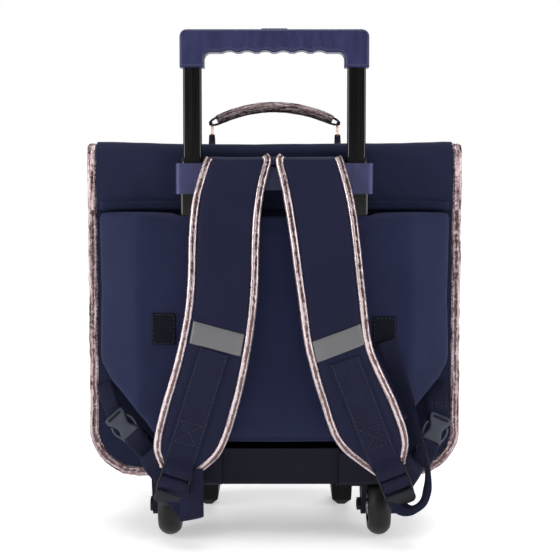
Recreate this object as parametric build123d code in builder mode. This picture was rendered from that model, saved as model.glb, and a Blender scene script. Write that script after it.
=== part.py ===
"""School satchel on wheels: a flap bag on a telescopic trolley frame, with padded shoulder straps.

Millimetres. +Z is up and the floor is Z = 0. The wearer's side, with the tubes and straps, faces -Y.
The flap opens about its rear top edge. Everything is measured from BACK, the bag's rear wall.
"""

import os
from math import cos, radians, sin, sqrt

from build123d import *

os.makedirs("parts", exist_ok=True)

# ------------------------------------------------------------------ driving dimensions: the bag
BACK = -59.3  # Y of the outer face of the rear wall
BAG_WIDTH = 390.0
BAG_DEPTH = 150.0
WHEEL_RADIUS = 33.0
BAG_BOTTOM = 2 * WHEEL_RADIUS + 6.0
RIM = 415.0  # top of the walls, under the flap
WALL = 3.0
CORNER = 34.0  # radius of the two lower corners
BINDING = 10.0  # width of the metallic tape on the seams
BINDING_THICK = 5.0
BOARD = 2.5  # stiffening boards inside
BOARD_MARGIN = 10.0

POCKET_WIDTH = BAG_WIDTH - 60.0
POCKET_DEPTH = 26.0
POCKET_BOTTOM = 84.0
POCKET_TOP = 300.0
POCKET_CORNER = 25.0

FLAP_THICK = 4.0
FLAP_TOP = RIM + 15.0  # outer face of the flap over the mouth
FLAP_GAP = 3.0  # between the flap and the pocket behind it
FLAP_END = 170.0  # lower edge of the flap on the front
FLAP_FOLD = 22.0  # outer radius where it turns down
FLAP_CORNER = 48.0
YOKE_THICK = 3.0
YOKE_BOTTOM = 358.0
HINGE_Y = BACK + 1.0
HINGE_Z = FLAP_TOP - 3.0
HINGE_GAP = 3.0

# ------------------------------------------------------------------ driving dimensions: the frame
TUBE_X = 88.5
TUBE_Y = BACK - 18.0
INNER_TUBE = (20.0, 11.0)
TUBE_WALL = 1.1
TUBE_PLAY = 0.65  # between one tube and the next, on each side
TUBE_STEP = 2 * (TUBE_WALL + TUBE_PLAY)
MIDDLE_TUBE = (INNER_TUBE[0] + TUBE_STEP, INNER_TUBE[1] + TUBE_STEP)
OUTER_TUBE = (MIDDLE_TUBE[0] + TUBE_STEP, MIDDLE_TUBE[1] + TUBE_STEP)
TUBE_ROUND = 0.3  # corner radius as a share of a tube's depth
SLIDE_GAP = 0.35  # round each tube where a guide holds it
TUBE_BOTTOM = BAG_BOTTOM
OUTER_TOP = 400.0
MIDDLE_BOTTOM = TUBE_BOTTOM + 18.0
MIDDLE_TOP = 411.0
INNER_BOTTOM = 204.0  # with the handle partly drawn out
GLIDE = 6.0
CAP = 4.0

COLLAR = (OUTER_TUBE[0] + 8.0, OUTER_TUBE[1] + 12.0)
COLLAR_BOTTOM = 376.0
COLLAR_TOP = 409.0
BRIDGE_BOTTOM = 380.0
BRIDGE_TOP = 405.0
BRIDGE_REAR = 8.0  # how far the bridge reaches behind the tubes' centres

GRIP_DEPTH = INNER_TUBE[1] + 13.0
GRIP_BOTTOM = 511.5
GRIP_TOP = 552.0
GRIP_LEG = INNER_TUBE[0] + 6.0
GRIP_BAR = 24.5
NOTCH_PITCH = 19.4
NOTCH_MARGIN = 15.0  # from a leg to the first notch
NOTCH_DEEP = 2.0
NOTCH_RADIUS = 14.0
CAVITY_FLOOR = 533.0
CAVITY_TOP = 545.0
BUTTON = (28.0, 10.0)
BUTTON_GAP = 0.3
BUTTON_PROUD = 1.5
CROSSBAR = 3.5
CROSSBAR_BOTTOM = 538.0
ROD_RADIUS = 2.0
PIN_RADIUS = 2.25
PIN_GAP = 0.05
PIN_Z = INNER_BOTTOM + 10.0
PIN_TRAVEL = 2.0

# ------------------------------------------------------------------ driving dimensions: wheels and feet
WHEEL_X = 114.5
AXLE_Y = BACK - 8.0
AXLE_Z = WHEEL_RADIUS
WHEEL_WIDTH = 24.0
HUB_RADIUS = WHEEL_RADIUS - 11.0
BEARING = (4.05, 11.0, 7.0)  # bore radius, outer radius, width
AXLE_RADIUS = 4.0
FORK_INSIDE = WHEEL_WIDTH / 2 + 2.25  # from the wheel's middle to a fork plate
FORK_PLATE = 5.0
FORK_BOSS = 11.0
POCKET_CLEAR = 3.0  # round the tyre
BASE_MARGIN = 0.75  # beyond the outer fork plates
BASE_HALF = WHEEL_X + FORK_INSIDE + FORK_PLATE + BASE_MARGIN
BASE_BOTTOM = BAG_BOTTOM - 11.0
BASE_TOP = BAG_BOTTOM + 28.0
BASE_REAR = 36.0
BASE_TAPER_X = 108.0
BASE_TAPER_Y = 14.0
BASE_RECESS = (-57.0, 70.0, 6.0)  # from X, to X, depth
FOOT_X = 80.0
FOOT_WIDTH = 23.0
FOOT_Y = BACK + BAG_DEPTH - 33.0
FOOT_LENGTH = 52.0
SCREW_RADIUS = 2.5
SCREW_GAP = 0.05
SCREW_HEAD = 5.0
FOOT_SCREW_DEPTH = 12.0

# ------------------------------------------------------------------ driving dimensions: back panel, straps
PANEL_OUT = 37.0
PANEL_EDGE = 8.0
PANEL_HALF = BAG_WIDTH / 2 - 1.0
PANEL_FLAT = PANEL_HALF - 44.0
PANEL_BOTTOM = BASE_TOP + 3.0
PANEL_TOP = YOKE_BOTTOM - 2.0
PANEL_CAVITY = (TUBE_X + OUTER_TUBE[0] / 2 + 4.0, 29.0)  # half width and depth of the space for the tubes
# the panel's cut lower corners: half widths at the bottom and at the bend, heights of the bend and the end
PANEL_FOOT_HALF = 126.0
PANEL_BEND = (PANEL_HALF - 21.0, 160.0)
PANEL_CORNER_TOP = 196.0
STRAP_THICK = 14.0
PIPING = 7.0
WEBBING = 1.6
WEBBING_WIDTH = 25.0
ANCHOR_TOP = 413.5
STRAP_TOP = 410.5
# the arc of the straps' outer face, as (distance from BACK, height): its top, middle and lower end
STRAP_FACE = [(48.0, STRAP_TOP), (74.0, 235.0), (59.0, 85.0)]
STRAP_FACE_END = 45.0
# each strap's two long edges, as (X, Z) from above its top down to the ladder lock, on a bag of DRAWN_WIDTH
DRAWN_WIDTH = 390.0
SPLAY_FULL = 160.0  # below this, straps and buckles keep their distance from the bag's sides
EDGE_TOP = STRAP_TOP + 12.0
STRAP_BEND = 60.0  # radius between the stretches of an edge
STRAP_EDGES = {
    "left": (
        [(-71, EDGE_TOP), (-87, 361), (-91, 270), (-102, 208), (-120, 146), (-127, 110), (-121, 87)],
        [(-1, EDGE_TOP), (-14, 361), (-18, 270), (-26, 208), (-40, 146), (-58, 100), (-89, 75)],
    ),
    "right": (
        [(70, EDGE_TOP), (85, 361), (95, 270), (103, 215), (127, 161), (141, 120), (138, 91)],
        [(-1, EDGE_TOP), (12, 361), (25, 270), (33, 215), (48, 161), (67, 112), (107, 78)],
    ),
}
REFLECTOR = {
    "left": [(-84, 245), (-31, 231), (-35, 208), (-88, 222)],
    "right": [(39, 223), (90, 242), (95, 221), (44, 201)],
}
STRAP_WEBBING = {
    "left": [(-77, 218), (-47, 209), (-85, 86), (-90, 78), (-118, 86), (-115, 99)],
    "right": [(58, 199), (88, 209), (129, 103), (136, 86), (108, 78), (101, 88)],
}
LOCK = {"left": (-106.0, 71.6, -17.3), "right": (127.6, 71.6, 21.2)}  # X, Z, turn in degrees
LOCK_SIZE = (37.0, 34.0, 4.0)
LOCK_GAP = 2.2  # the straps' face still curves forward behind the tops of the locks
LOCK_SLOT = (28.0, 7.0)
# the webbing from each ladder lock up to its buckle: start, end, then (distance, out from BACK) on the way
LOAD_ENDS = {"left": ((-109.0, 62.0), (-145.0, 102.0)), "right": ((131.0, 62.0), (164.0, 92.0))}
LOAD_PATH = {
    "left": [(14.0, 43.0), (34.0, 37.0), (50.0, 17.2)],
    "right": [(14.0, 43.0), (25.0, 31.0), (34.0, 17.2)],
}
BUCKLE_TURN = {"left": 42.2, "right": -23.0}  # of the buckle's length away from upright
BUCKLE_WIDTH = 27.0
BUCKLE_THICK = 8.0
BUCKLE_OUT = 26.0  # outer face, from BACK
PLUG_BASE = 16.0
SOCKET_LENGTH = 30.0
BUCKLE_GAP = 0.3
PRONG = (4.0, 17.0, 4.4)
# the sewn tabs that hold the buckles: low X, high X, low Z, high Z
ANCHOR_TAB = {"left": (-194.0, -176.0, 132.0, 158.0), "right": (172.0, 193.0, 127.0, 157.0)}
TAIL_WIDTH = 20.0
PATCH = (25.0, 34.0, 1.2)
PATCH_PLACES = [(-118.5, 232.0), (118.0, 228.0)]

# ------------------------------------------------------------------ driving dimensions: handle, clasps
HANDLE_Y = BACK + 55.0
HANDLE_END_X = 66.0
HANDLE_END_Z = FLAP_TOP + 28.0
HANDLE_RISE = 12.5
HANDLE_RADIUS = 5.0
RING_X = 72.0
RING_WIRE = 1.3
RING_RADIUS = 6.7  # of the wire's centre line, at both round ends
RING_PIVOT_Z = FLAP_TOP + 14.0
RING_STRAIGHT = 5.0
LOOP_HALF = 4.0
LOOP_WALL = 1.6
CLASP_X = 95.0
CLASP_Z = FLAP_END - 15.0
CLASP_WIDTH = 38.0
CLASP_TOP = FLAP_END + 18.0
CLASP_BOTTOM = FLAP_END - 30.0
CLASP_FRONT = 10.0
KEEPER = (34.0, 34.0, 2.0)
STUD_RADIUS = 4.0
STUD_LENGTH = 7.0
STUD_CLEAR = 0.5
CLASP_BUTTON_RADIUS = 8.0
CLASP_BUTTON_TRAVEL = 2.5
CLASP_BUTTON_Z = FLAP_END + 2.0

SIDES = {"left": -1, "right": 1}


def splayed(x, z):
    """A point of the straps, moved out with the bag's sides: fully at the foot, not at all at the top."""
    share = min(1.0, (EDGE_TOP - z) / (EDGE_TOP - SPLAY_FULL))
    outwards = 1 if x > 0 else -1
    return (x + outwards * share * (BAG_WIDTH - DRAWN_WIDTH) / 2, z)



def upright(y):
    """The plane at depth y that faces -Y: its x is X, its y is Z, and extruding goes towards -Y."""
    return Plane.XZ.offset(-y)


def write(name, part):
    part.label = name
    export_step(part, f"parts/{name}.step")


def panel_outline(y, half, bottom, top, corner):
    """A panel with square upper corners and round lower ones."""
    with BuildSketch(upright(y)) as outline:
        with Locations((0, (bottom + top) / 2)):
            Rectangle(2 * half, top - bottom)
        fillet(outline.vertices().group_by(Axis.Y)[0], corner)
    return outline.sketch


def polygon(plane, points):
    with BuildSketch(plane) as shape:
        with BuildLine():
            Polyline(*points, close=True)
        make_face()
    return shape.sketch


def tube_section(z, size, smaller=0.0):
    """The two flat-oval sections of a pair of tubes, made smaller by a wall or a gap on each side."""
    wide, deep = size[0] - 2 * smaller, size[1] - 2 * smaller
    with BuildSketch(Plane.XY.offset(z)) as section:
        with Locations((-TUBE_X, TUBE_Y), (TUBE_X, TUBE_Y)):
            RectangleRounded(wide, deep, TUBE_ROUND * deep)
    return section.sketch


def one_side(sketch, side):
    """The face of a pair that lies on one side."""
    return sketch.faces().sort_by(Axis.X)[0 if side < 0 else -1]


# ================================================================== the fabric body
HALF = BAG_WIDTH / 2
FRONT = BACK + BAG_DEPTH
FLAP_OUT = FRONT + POCKET_DEPTH + FLAP_GAP + FLAP_THICK  # outer face of the flap on the front
BASE_SCREWS = [(x, BAG_BOTTOM + 13.0) for x in (-120.0, -40.0, 40.0, 120.0)]
BRACKET_SCREWS = [(-50.0, 392.0), (50.0, 392.0)]
FRAME_SCREWS = BASE_SCREWS + BRACKET_SCREWS
FOOT_SCREWS = [(side * FOOT_X, FOOT_Y + step) for side in (-1, 1) for step in (-14.0, 14.0)]
SCREW_HOLE = SCREW_RADIUS + SCREW_GAP
INSIDE = BACK + WALL + BOARD  # where the heads of the frame screws bear
SCREW_END = BACK - 15.0

body_outline = panel_outline(FRONT, HALF, BAG_BOTTOM, RIM, CORNER)
body_hollow = panel_outline(FRONT - WALL, HALF - WALL, BAG_BOTTOM + WALL, RIM + WALL, CORNER - WALL)
with BuildPart() as bag_body:
    extrude(body_outline, amount=BAG_DEPTH)
    extrude(body_hollow, amount=BAG_DEPTH - 2 * WALL, mode=Mode.SUBTRACT)
    with BuildSketch(upright(BACK + WALL)):
        with Locations(*FRAME_SCREWS):
            Circle(SCREW_HOLE)
    extrude(amount=WALL, mode=Mode.SUBTRACT)
    with BuildSketch(Plane.XY.offset(BAG_BOTTOM)):
        with Locations(*FOOT_SCREWS):
            Circle(SCREW_HOLE)
    extrude(amount=WALL, mode=Mode.SUBTRACT)
write("bag_body", bag_body.part)

board_outline = panel_outline(
    INSIDE, HALF - BOARD_MARGIN, BAG_BOTTOM + WALL + BOARD_MARGIN, RIM - BOARD_MARGIN, CORNER - BOARD_MARGIN
)
with BuildPart() as back_board:
    extrude(board_outline, amount=BOARD)
    with BuildSketch(upright(INSIDE)):
        with Locations(*FRAME_SCREWS):
            Circle(SCREW_HOLE)
    extrude(amount=BOARD, mode=Mode.SUBTRACT)
write("back_board", back_board.part)

board_from = INSIDE + SCREW_HEAD
board_to = FRONT - WALL - 1.0
with BuildPart() as bottom_board:
    with BuildSketch(Plane.XY.offset(BAG_BOTTOM + WALL)):
        with Locations((0, (board_from + board_to) / 2)):
            Rectangle(2 * (HALF - CORNER), board_to - board_from)
        with Locations(*FOOT_SCREWS):
            Circle(SCREW_HOLE, mode=Mode.SUBTRACT)
    extrude(amount=BOARD)
write("bottom_board", bottom_board.part)

pocket_outline = panel_outline(
    FRONT + POCKET_DEPTH, POCKET_WIDTH / 2, POCKET_BOTTOM, POCKET_TOP, POCKET_CORNER
)
pocket_hollow = panel_outline(
    FRONT + POCKET_DEPTH - WALL,
    POCKET_WIDTH / 2 - WALL,
    POCKET_BOTTOM + WALL,
    POCKET_TOP + WALL,
    POCKET_CORNER - WALL,
)
with BuildPart() as front_pocket:
    extrude(pocket_outline, amount=POCKET_DEPTH)
    extrude(pocket_hollow, amount=POCKET_DEPTH - WALL, mode=Mode.SUBTRACT)
write("front_pocket", front_pocket.part)

# the bound seams stand out round the front and rear edges of the body
front_bound = panel_outline(FRONT, HALF + BINDING, BAG_BOTTOM - BINDING, RIM, CORNER + BINDING)
with BuildPart() as front_binding:
    extrude(front_bound, amount=BINDING_THICK)
    extrude(body_outline, amount=BINDING_THICK, mode=Mode.SUBTRACT)
write("front_binding", front_binding.part)

YOKE_TOP = HINGE_Z - 0.5
rear_bound = panel_outline(
    BACK + BINDING_THICK, HALF + BINDING, BAG_BOTTOM - BINDING, YOKE_BOTTOM, CORNER + BINDING
)
rear_fabric = panel_outline(BACK + BINDING_THICK, HALF, BAG_BOTTOM, YOKE_BOTTOM, CORNER)
with BuildPart() as back_binding:
    extrude(rear_bound, amount=BINDING_THICK)
    extrude(rear_fabric, amount=BINDING_THICK, mode=Mode.SUBTRACT)
    # the trolley base takes its place between the wheels
    with BuildSketch(upright(BACK + BINDING_THICK)):
        with Locations((0, BAG_BOTTOM - BINDING / 2)):
            Rectangle(2 * BASE_HALF, 2 * BINDING)
    extrude(amount=BINDING_THICK, mode=Mode.SUBTRACT)
    with BuildSketch(upright(BACK + 1.0)):
        for side in SIDES.values():
            with Locations((side * (HALF + BINDING / 2), (YOKE_BOTTOM + YOKE_TOP) / 2)):
                Rectangle(BINDING, YOKE_TOP - YOKE_BOTTOM)
    extrude(amount=YOKE_THICK + 1.0)
write("back_binding", back_binding.part)

# the fixed part of the flap, sewn over the rear wall, up to the fold
with BuildPart() as flap_yoke:
    with BuildSketch(upright(BACK)):
        with Locations((0, (YOKE_BOTTOM + YOKE_TOP) / 2)):
            Rectangle(BAG_WIDTH, YOKE_TOP - YOKE_BOTTOM)
        with Locations(*BRACKET_SCREWS):
            Circle(SCREW_HOLE, mode=Mode.SUBTRACT)
    extrude(amount=YOKE_THICK)
write("flap_yoke", flap_yoke.part)

# ================================================================== the flap
FLAP_START = HINGE_Y + HINGE_GAP
FLAP_BOTTOM_BOUND = FLAP_END - BINDING


def flap_slab(half, end):
    """The flap's bent section, over the mouth and down the front, pushed out to both sides."""
    inner = FLAP_OUT - FLAP_THICK
    with BuildPart() as slab:
        with BuildSketch(Plane.YZ):
            with BuildLine():
                Line((FLAP_START, FLAP_TOP), (FLAP_OUT - FLAP_FOLD, FLAP_TOP))
                RadiusArc((FLAP_OUT - FLAP_FOLD, FLAP_TOP), (FLAP_OUT, FLAP_TOP - FLAP_FOLD), FLAP_FOLD)
                Line((FLAP_OUT, FLAP_TOP - FLAP_FOLD), (FLAP_OUT, end))
                Line((FLAP_OUT, end), (inner, end))
                Line((inner, end), (inner, FLAP_TOP - FLAP_FOLD))
                RadiusArc(
                    (inner, FLAP_TOP - FLAP_FOLD),
                    (FLAP_OUT - FLAP_FOLD, FLAP_TOP - FLAP_THICK),
                    -(FLAP_FOLD - FLAP_THICK),
                )
                Line((FLAP_OUT - FLAP_FOLD, FLAP_TOP - FLAP_THICK), (FLAP_START, FLAP_TOP - FLAP_THICK))
                Line((FLAP_START, FLAP_TOP - FLAP_THICK), (FLAP_START, FLAP_TOP))
            make_face()
        extrude(amount=half, both=True)
    return slab.part


REACH = FLAP_OUT - BACK + 20.0
flap_fabric = panel_outline(FLAP_OUT + 10.0, HALF, FLAP_END, FLAP_TOP + 10.0, FLAP_CORNER)
flap_whole = panel_outline(
    FLAP_OUT + 10.0, HALF + BINDING, FLAP_BOTTOM_BOUND, FLAP_TOP + 10.0, FLAP_CORNER + BINDING
)
bound_slab = flap_slab(HALF + BINDING, FLAP_BOTTOM_BOUND)

with BuildPart() as flap:
    add(bound_slab)
    extrude(flap_fabric, amount=REACH, mode=Mode.INTERSECT)
write("flap", flap.part)

with BuildPart() as flap_binding:
    add(bound_slab)
    extrude(flap_whole, amount=REACH, mode=Mode.INTERSECT)
    extrude(flap_fabric, amount=REACH, mode=Mode.SUBTRACT)
write("flap_binding", flap_binding.part)

# webbing loops on the flap, each round the lower end of a ring
with BuildPart() as handle_loops:
    for side in SIDES.values():
        with BuildSketch(Plane.XZ.offset(-(HANDLE_Y + LOOP_HALF))):
            leg = RING_WIRE + 0.4
            bridge = RING_PIVOT_Z - 1.0
            with Locations((side * RING_X, (FLAP_TOP + bridge) / 2)):
                Rectangle(2 * (leg + LOOP_WALL), bridge - FLAP_TOP)
            with Locations((side * RING_X, (FLAP_TOP + LOOP_WALL + bridge - LOOP_WALL) / 2)):
                Rectangle(2 * leg, bridge - FLAP_TOP - 2 * LOOP_WALL, mode=Mode.SUBTRACT)
        extrude(amount=2 * LOOP_HALF)
write("handle_loops", handle_loops.part)

# ================================================================== the carry handle
with BuildPart() as carry_handle:
    with BuildLine(upright(HANDLE_Y)) as handle_line:
        ThreePointArc(
            (-HANDLE_END_X, HANDLE_END_Z), (0, HANDLE_END_Z + HANDLE_RISE), (HANDLE_END_X, HANDLE_END_Z)
        )
    with BuildSketch(Plane(origin=handle_line.line @ 0, z_dir=handle_line.line % 0)):
        Circle(HANDLE_RADIUS)
    sweep()
write("carry_handle", carry_handle.part)

with BuildPart() as handle_rings:
    for side in SIDES.values():
        plane = Plane(origin=(side * RING_X, HANDLE_Y, RING_PIVOT_Z), x_dir=(0, 1, 0), z_dir=(1, 0, 0))
        with BuildLine(plane) as ring_line:
            RadiusArc((-RING_RADIUS, 0), (RING_RADIUS, 0), -RING_RADIUS)
            Line((RING_RADIUS, 0), (RING_RADIUS, RING_STRAIGHT))
            RadiusArc((RING_RADIUS, RING_STRAIGHT), (-RING_RADIUS, RING_STRAIGHT), -RING_RADIUS)
            Line((-RING_RADIUS, RING_STRAIGHT), (-RING_RADIUS, 0))
        with BuildSketch(Plane(origin=ring_line.line @ 0, z_dir=ring_line.line % 0)):
            Circle(RING_WIRE)
        sweep()
write("handle_rings", handle_rings.part)

# the webbing ends of the handle, each with a slot for the top of its ring
RING_TOP = RING_PIVOT_Z + RING_STRAIGHT + RING_RADIUS
with BuildPart() as handle_ends:
    for side in SIDES.values():
        with BuildSketch(upright(HANDLE_Y + LOOP_HALF)):
            with Locations((side * (RING_X - 1.0), RING_TOP)):
                Rectangle(9.0, 12.0)
        extrude(amount=2 * LOOP_HALF)
    for side in SIDES.values():
        plane = Plane(origin=(side * RING_X, HANDLE_Y, RING_PIVOT_Z + RING_STRAIGHT), z_dir=(1, 0, 0))
        with BuildSketch(plane):
            Circle(RING_RADIUS + RING_WIRE + 0.2)
            Circle(RING_RADIUS - RING_WIRE - 0.2, mode=Mode.SUBTRACT)
        extrude(amount=RING_WIRE + 0.2, both=True, mode=Mode.SUBTRACT)
    add(carry_handle.part, mode=Mode.SUBTRACT)
write("handle_ends", handle_ends.part)

# ================================================================== the clasps on the front
PLATE_FRONT = FRONT + POCKET_DEPTH + KEEPER[2]
with BuildPart() as clasp_keepers:
    for side in SIDES.values():
        with BuildSketch(upright(PLATE_FRONT)):
            with Locations((side * CLASP_X, CLASP_Z)):
                RectangleRounded(KEEPER[0], KEEPER[1], 4.0)
        extrude(amount=KEEPER[2])
        with BuildSketch(upright(PLATE_FRONT + STUD_LENGTH)):
            with Locations((side * CLASP_X, CLASP_Z)):
                Circle(STUD_RADIUS)
        extrude(amount=STUD_LENGTH)
write("clasp_keepers", clasp_keepers.part)

LATCH_BACK = PLATE_FRONT + STUD_CLEAR
for name, side in SIDES.items():
    middle = side * CLASP_X
    with BuildPart() as clasp_latch:
        with BuildSketch(upright(FLAP_OUT + CLASP_FRONT)):
            with Locations((middle, (CLASP_TOP + CLASP_BOTTOM) / 2)):
                RectangleRounded(CLASP_WIDTH, CLASP_TOP - CLASP_BOTTOM, 5.0)
        extrude(amount=CLASP_FRONT)
        fillet(clasp_latch.faces().sort_by(Axis.Y)[-1].edges(), 2.0)
        lower_top = FLAP_BOTTOM_BOUND - 0.5
        with BuildSketch(upright(FLAP_OUT)):
            with Locations((middle, (lower_top + CLASP_BOTTOM + 2.0) / 2)):
                Rectangle(CLASP_WIDTH - 4.0, lower_top - CLASP_BOTTOM - 2.0)
        extrude(amount=FLAP_OUT - LATCH_BACK)
        # the keeper's stud sits in a slot that is open downwards, so the flap swings off it
        slot_top = CLASP_Z + STUD_RADIUS + STUD_CLEAR
        slot_depth = PLATE_FRONT + STUD_LENGTH + STUD_CLEAR - LATCH_BACK
        with BuildSketch(upright(LATCH_BACK + slot_depth)):
            with Locations((middle, (slot_top + CLASP_BOTTOM - 5.0) / 2)):
                Rectangle(2 * (STUD_RADIUS + STUD_CLEAR), slot_top - CLASP_BOTTOM + 5.0)
        extrude(amount=slot_depth, mode=Mode.SUBTRACT)
        with BuildSketch(upright(FLAP_OUT + CLASP_FRONT)):
            with Locations((middle, CLASP_BUTTON_Z)):
                Circle(CLASP_BUTTON_RADIUS + BUTTON_GAP)
        extrude(amount=CLASP_BUTTON_TRAVEL + 4.0, mode=Mode.SUBTRACT)
    write(f"clasp_latch_{name}", clasp_latch.part)

    with BuildPart() as clasp_button:
        with BuildSketch(upright(FLAP_OUT + CLASP_FRONT + BUTTON_PROUD)):
            with Locations((middle, CLASP_BUTTON_Z)):
                Circle(CLASP_BUTTON_RADIUS)
        extrude(amount=BUTTON_PROUD + 3.5)
        fillet(clasp_button.faces().sort_by(Axis.Y)[-1].edges(), 0.8)
    write(f"clasp_button_{name}", clasp_button.part)

# ================================================================== the trolley frame
BASE_FRONT = BACK + 36.0  # front edge of the wheel housings, under the bag
with BuildPart() as trolley_base:
    with BuildSketch(Plane.XY.offset(BASE_BOTTOM)):
        with BuildLine():
            Polyline(
                (-BASE_HALF, BACK),
                (-BASE_HALF, BACK - BASE_TAPER_Y),
                (-BASE_TAPER_X, BACK - BASE_REAR),
                (BASE_TAPER_X, BACK - BASE_REAR),
                (BASE_HALF, BACK - BASE_TAPER_Y),
                (BASE_HALF, BACK),
                close=True,
            )
        make_face()
    extrude(amount=BASE_TOP - BASE_BOTTOM)
    long_edges = trolley_base.edges().filter_by(Axis.X).group_by(Axis.Y)[0]
    fillet(long_edges, 5.0)
    # a shallow recess between the wheels
    recess_middle = (BASE_RECESS[0] + BASE_RECESS[1]) / 2
    with BuildSketch(Plane.XY.offset(BASE_BOTTOM - 1.0)):
        with Locations((recess_middle, BACK - BASE_REAR)):
            Rectangle(BASE_RECESS[1] - BASE_RECESS[0], 2 * BASE_RECESS[2])
    extrude(amount=BASE_TOP - BASE_BOTTOM + 2.0, mode=Mode.SUBTRACT)
    for side in SIDES.values():
        with BuildSketch(Plane.XY.offset(BASE_BOTTOM)):
            with Locations((side * WHEEL_X, (BACK + BASE_FRONT) / 2)):
                Rectangle(2 * (FORK_INSIDE + FORK_PLATE), BASE_FRONT - BACK)
        extrude(amount=BAG_BOTTOM - BASE_BOTTOM)
        rib_from = WHEEL_X - FORK_INSIDE - FORK_PLATE
        with BuildSketch(Plane.XY.offset(BASE_BOTTOM - 11.0)):
            with Locations((side * (rib_from - 13.0), BACK + 12.0)):
                Rectangle(27.0, 24.0)
        extrude(amount=BAG_BOTTOM - BASE_BOTTOM + 11.0)
        for inner in (WHEEL_X - FORK_INSIDE - FORK_PLATE, WHEEL_X + FORK_INSIDE):
            start = inner if side > 0 else -inner - FORK_PLATE
            with BuildSketch(Plane.YZ.offset(start)):
                with BuildLine():
                    Polyline(
                        (AXLE_Y - 22.0, BAG_BOTTOM),
                        (AXLE_Y + 34.0, BAG_BOTTOM),
                        (AXLE_Y + FORK_BOSS, AXLE_Z),
                        (AXLE_Y - FORK_BOSS, AXLE_Z),
                        close=True,
                    )
                make_face()
                with Locations((AXLE_Y, AXLE_Z)):
                    Circle(FORK_BOSS)
            extrude(amount=FORK_PLATE)
        with BuildSketch(Plane.YZ.offset(side * WHEEL_X)):
            with Locations((AXLE_Y, AXLE_Z)):
                Circle(WHEEL_RADIUS + POCKET_CLEAR)
        extrude(amount=FORK_INSIDE, both=True, mode=Mode.SUBTRACT)
        with BuildSketch(Plane.YZ.offset(side * WHEEL_X)):
            with Locations((AXLE_Y, AXLE_Z)):
                Circle(AXLE_RADIUS + SCREW_GAP)
        extrude(amount=FORK_INSIDE + 2 * FORK_PLATE, both=True, mode=Mode.SUBTRACT)
    extrude(tube_section(TUBE_BOTTOM, OUTER_TUBE, -0.1), amount=BASE_TOP, mode=Mode.SUBTRACT)
    with BuildSketch(upright(BACK)):
        with Locations(*BASE_SCREWS):
            Circle(SCREW_HOLE)
    extrude(amount=BACK - SCREW_END, mode=Mode.SUBTRACT)
write("trolley_base", trolley_base.part)

with BuildPart() as top_bracket:
    with BuildSketch(Plane.XY.offset(COLLAR_BOTTOM)):
        with Locations((-TUBE_X, TUBE_Y), (TUBE_X, TUBE_Y)):
            RectangleRounded(COLLAR[0], COLLAR[1], 6.0)
    extrude(amount=COLLAR_TOP - COLLAR_BOTTOM)
    bridge_rear = TUBE_Y - BRIDGE_REAR
    bridge_front = BACK - YOKE_THICK
    with BuildSketch(Plane.XY.offset(BRIDGE_BOTTOM)):
        with Locations((0, (bridge_rear + bridge_front) / 2)):
            Rectangle(2 * TUBE_X - COLLAR[0] + 6.0, bridge_front - bridge_rear)
    extrude(amount=BRIDGE_TOP - BRIDGE_BOTTOM)
    guide_top = COLLAR_TOP - 3.0
    extrude(
        tube_section(COLLAR_BOTTOM, OUTER_TUBE, -0.1),
        amount=guide_top - COLLAR_BOTTOM,
        mode=Mode.SUBTRACT,
    )
    extrude(
        tube_section(COLLAR_BOTTOM, MIDDLE_TUBE, -SLIDE_GAP),
        amount=COLLAR_TOP - COLLAR_BOTTOM,
        mode=Mode.SUBTRACT,
    )
    with BuildSketch(upright(BACK)):
        with Locations(*BRACKET_SCREWS):
            Circle(SCREW_HOLE)
    extrude(amount=BACK - SCREW_END, mode=Mode.SUBTRACT)
write("top_bracket", top_bracket.part)

with BuildPart() as guide_bushings:
    extrude(tube_section(OUTER_TOP, OUTER_TUBE), amount=guide_top - OUTER_TOP)
    extrude(
        tube_section(OUTER_TOP, MIDDLE_TUBE, -SLIDE_GAP),
        amount=guide_top - OUTER_TOP,
        mode=Mode.SUBTRACT,
    )
write("guide_bushings", guide_bushings.part)

INNER_TOP = CAVITY_FLOOR
stages = {
    "outer": (OUTER_TUBE, TUBE_BOTTOM, OUTER_TOP),
    "middle": (MIDDLE_TUBE, MIDDLE_BOTTOM, MIDDLE_TOP),
    "inner": (INNER_TUBE, INNER_BOTTOM, INNER_TOP),
}
for stage, (size, low, high) in stages.items():
    for name, side in SIDES.items():
        with BuildPart() as tube:
            extrude(one_side(tube_section(low, size), side), amount=high - low)
            extrude(
                one_side(tube_section(low, size, TUBE_WALL), side),
                amount=high - low,
                mode=Mode.SUBTRACT,
            )
            if stage == "inner":
                with BuildSketch(upright(TUBE_Y + INNER_TUBE[1])):
                    with Locations((side * TUBE_X, PIN_Z)):
                        Circle(PIN_RADIUS + PIN_GAP)
                extrude(amount=INNER_TUBE[1], mode=Mode.SUBTRACT)
        write(f"{stage}_tube_{name}", tube.part)

with BuildPart() as middle_glides:
    glide_low = MIDDLE_BOTTOM - GLIDE
    extrude(tube_section(glide_low, OUTER_TUBE, TUBE_WALL + 0.25), amount=GLIDE)
    extrude(tube_section(MIDDLE_BOTTOM, MIDDLE_TUBE, TUBE_WALL), amount=GLIDE - 1.0)
write("middle_glides", middle_glides.part)

with BuildPart() as middle_caps:
    extrude(tube_section(MIDDLE_TOP, MIDDLE_TUBE, -0.75), amount=CAP)
    extrude(tube_section(MIDDLE_TOP, INNER_TUBE, -SLIDE_GAP), amount=CAP, mode=Mode.SUBTRACT)
write("middle_caps", middle_caps.part)

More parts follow.
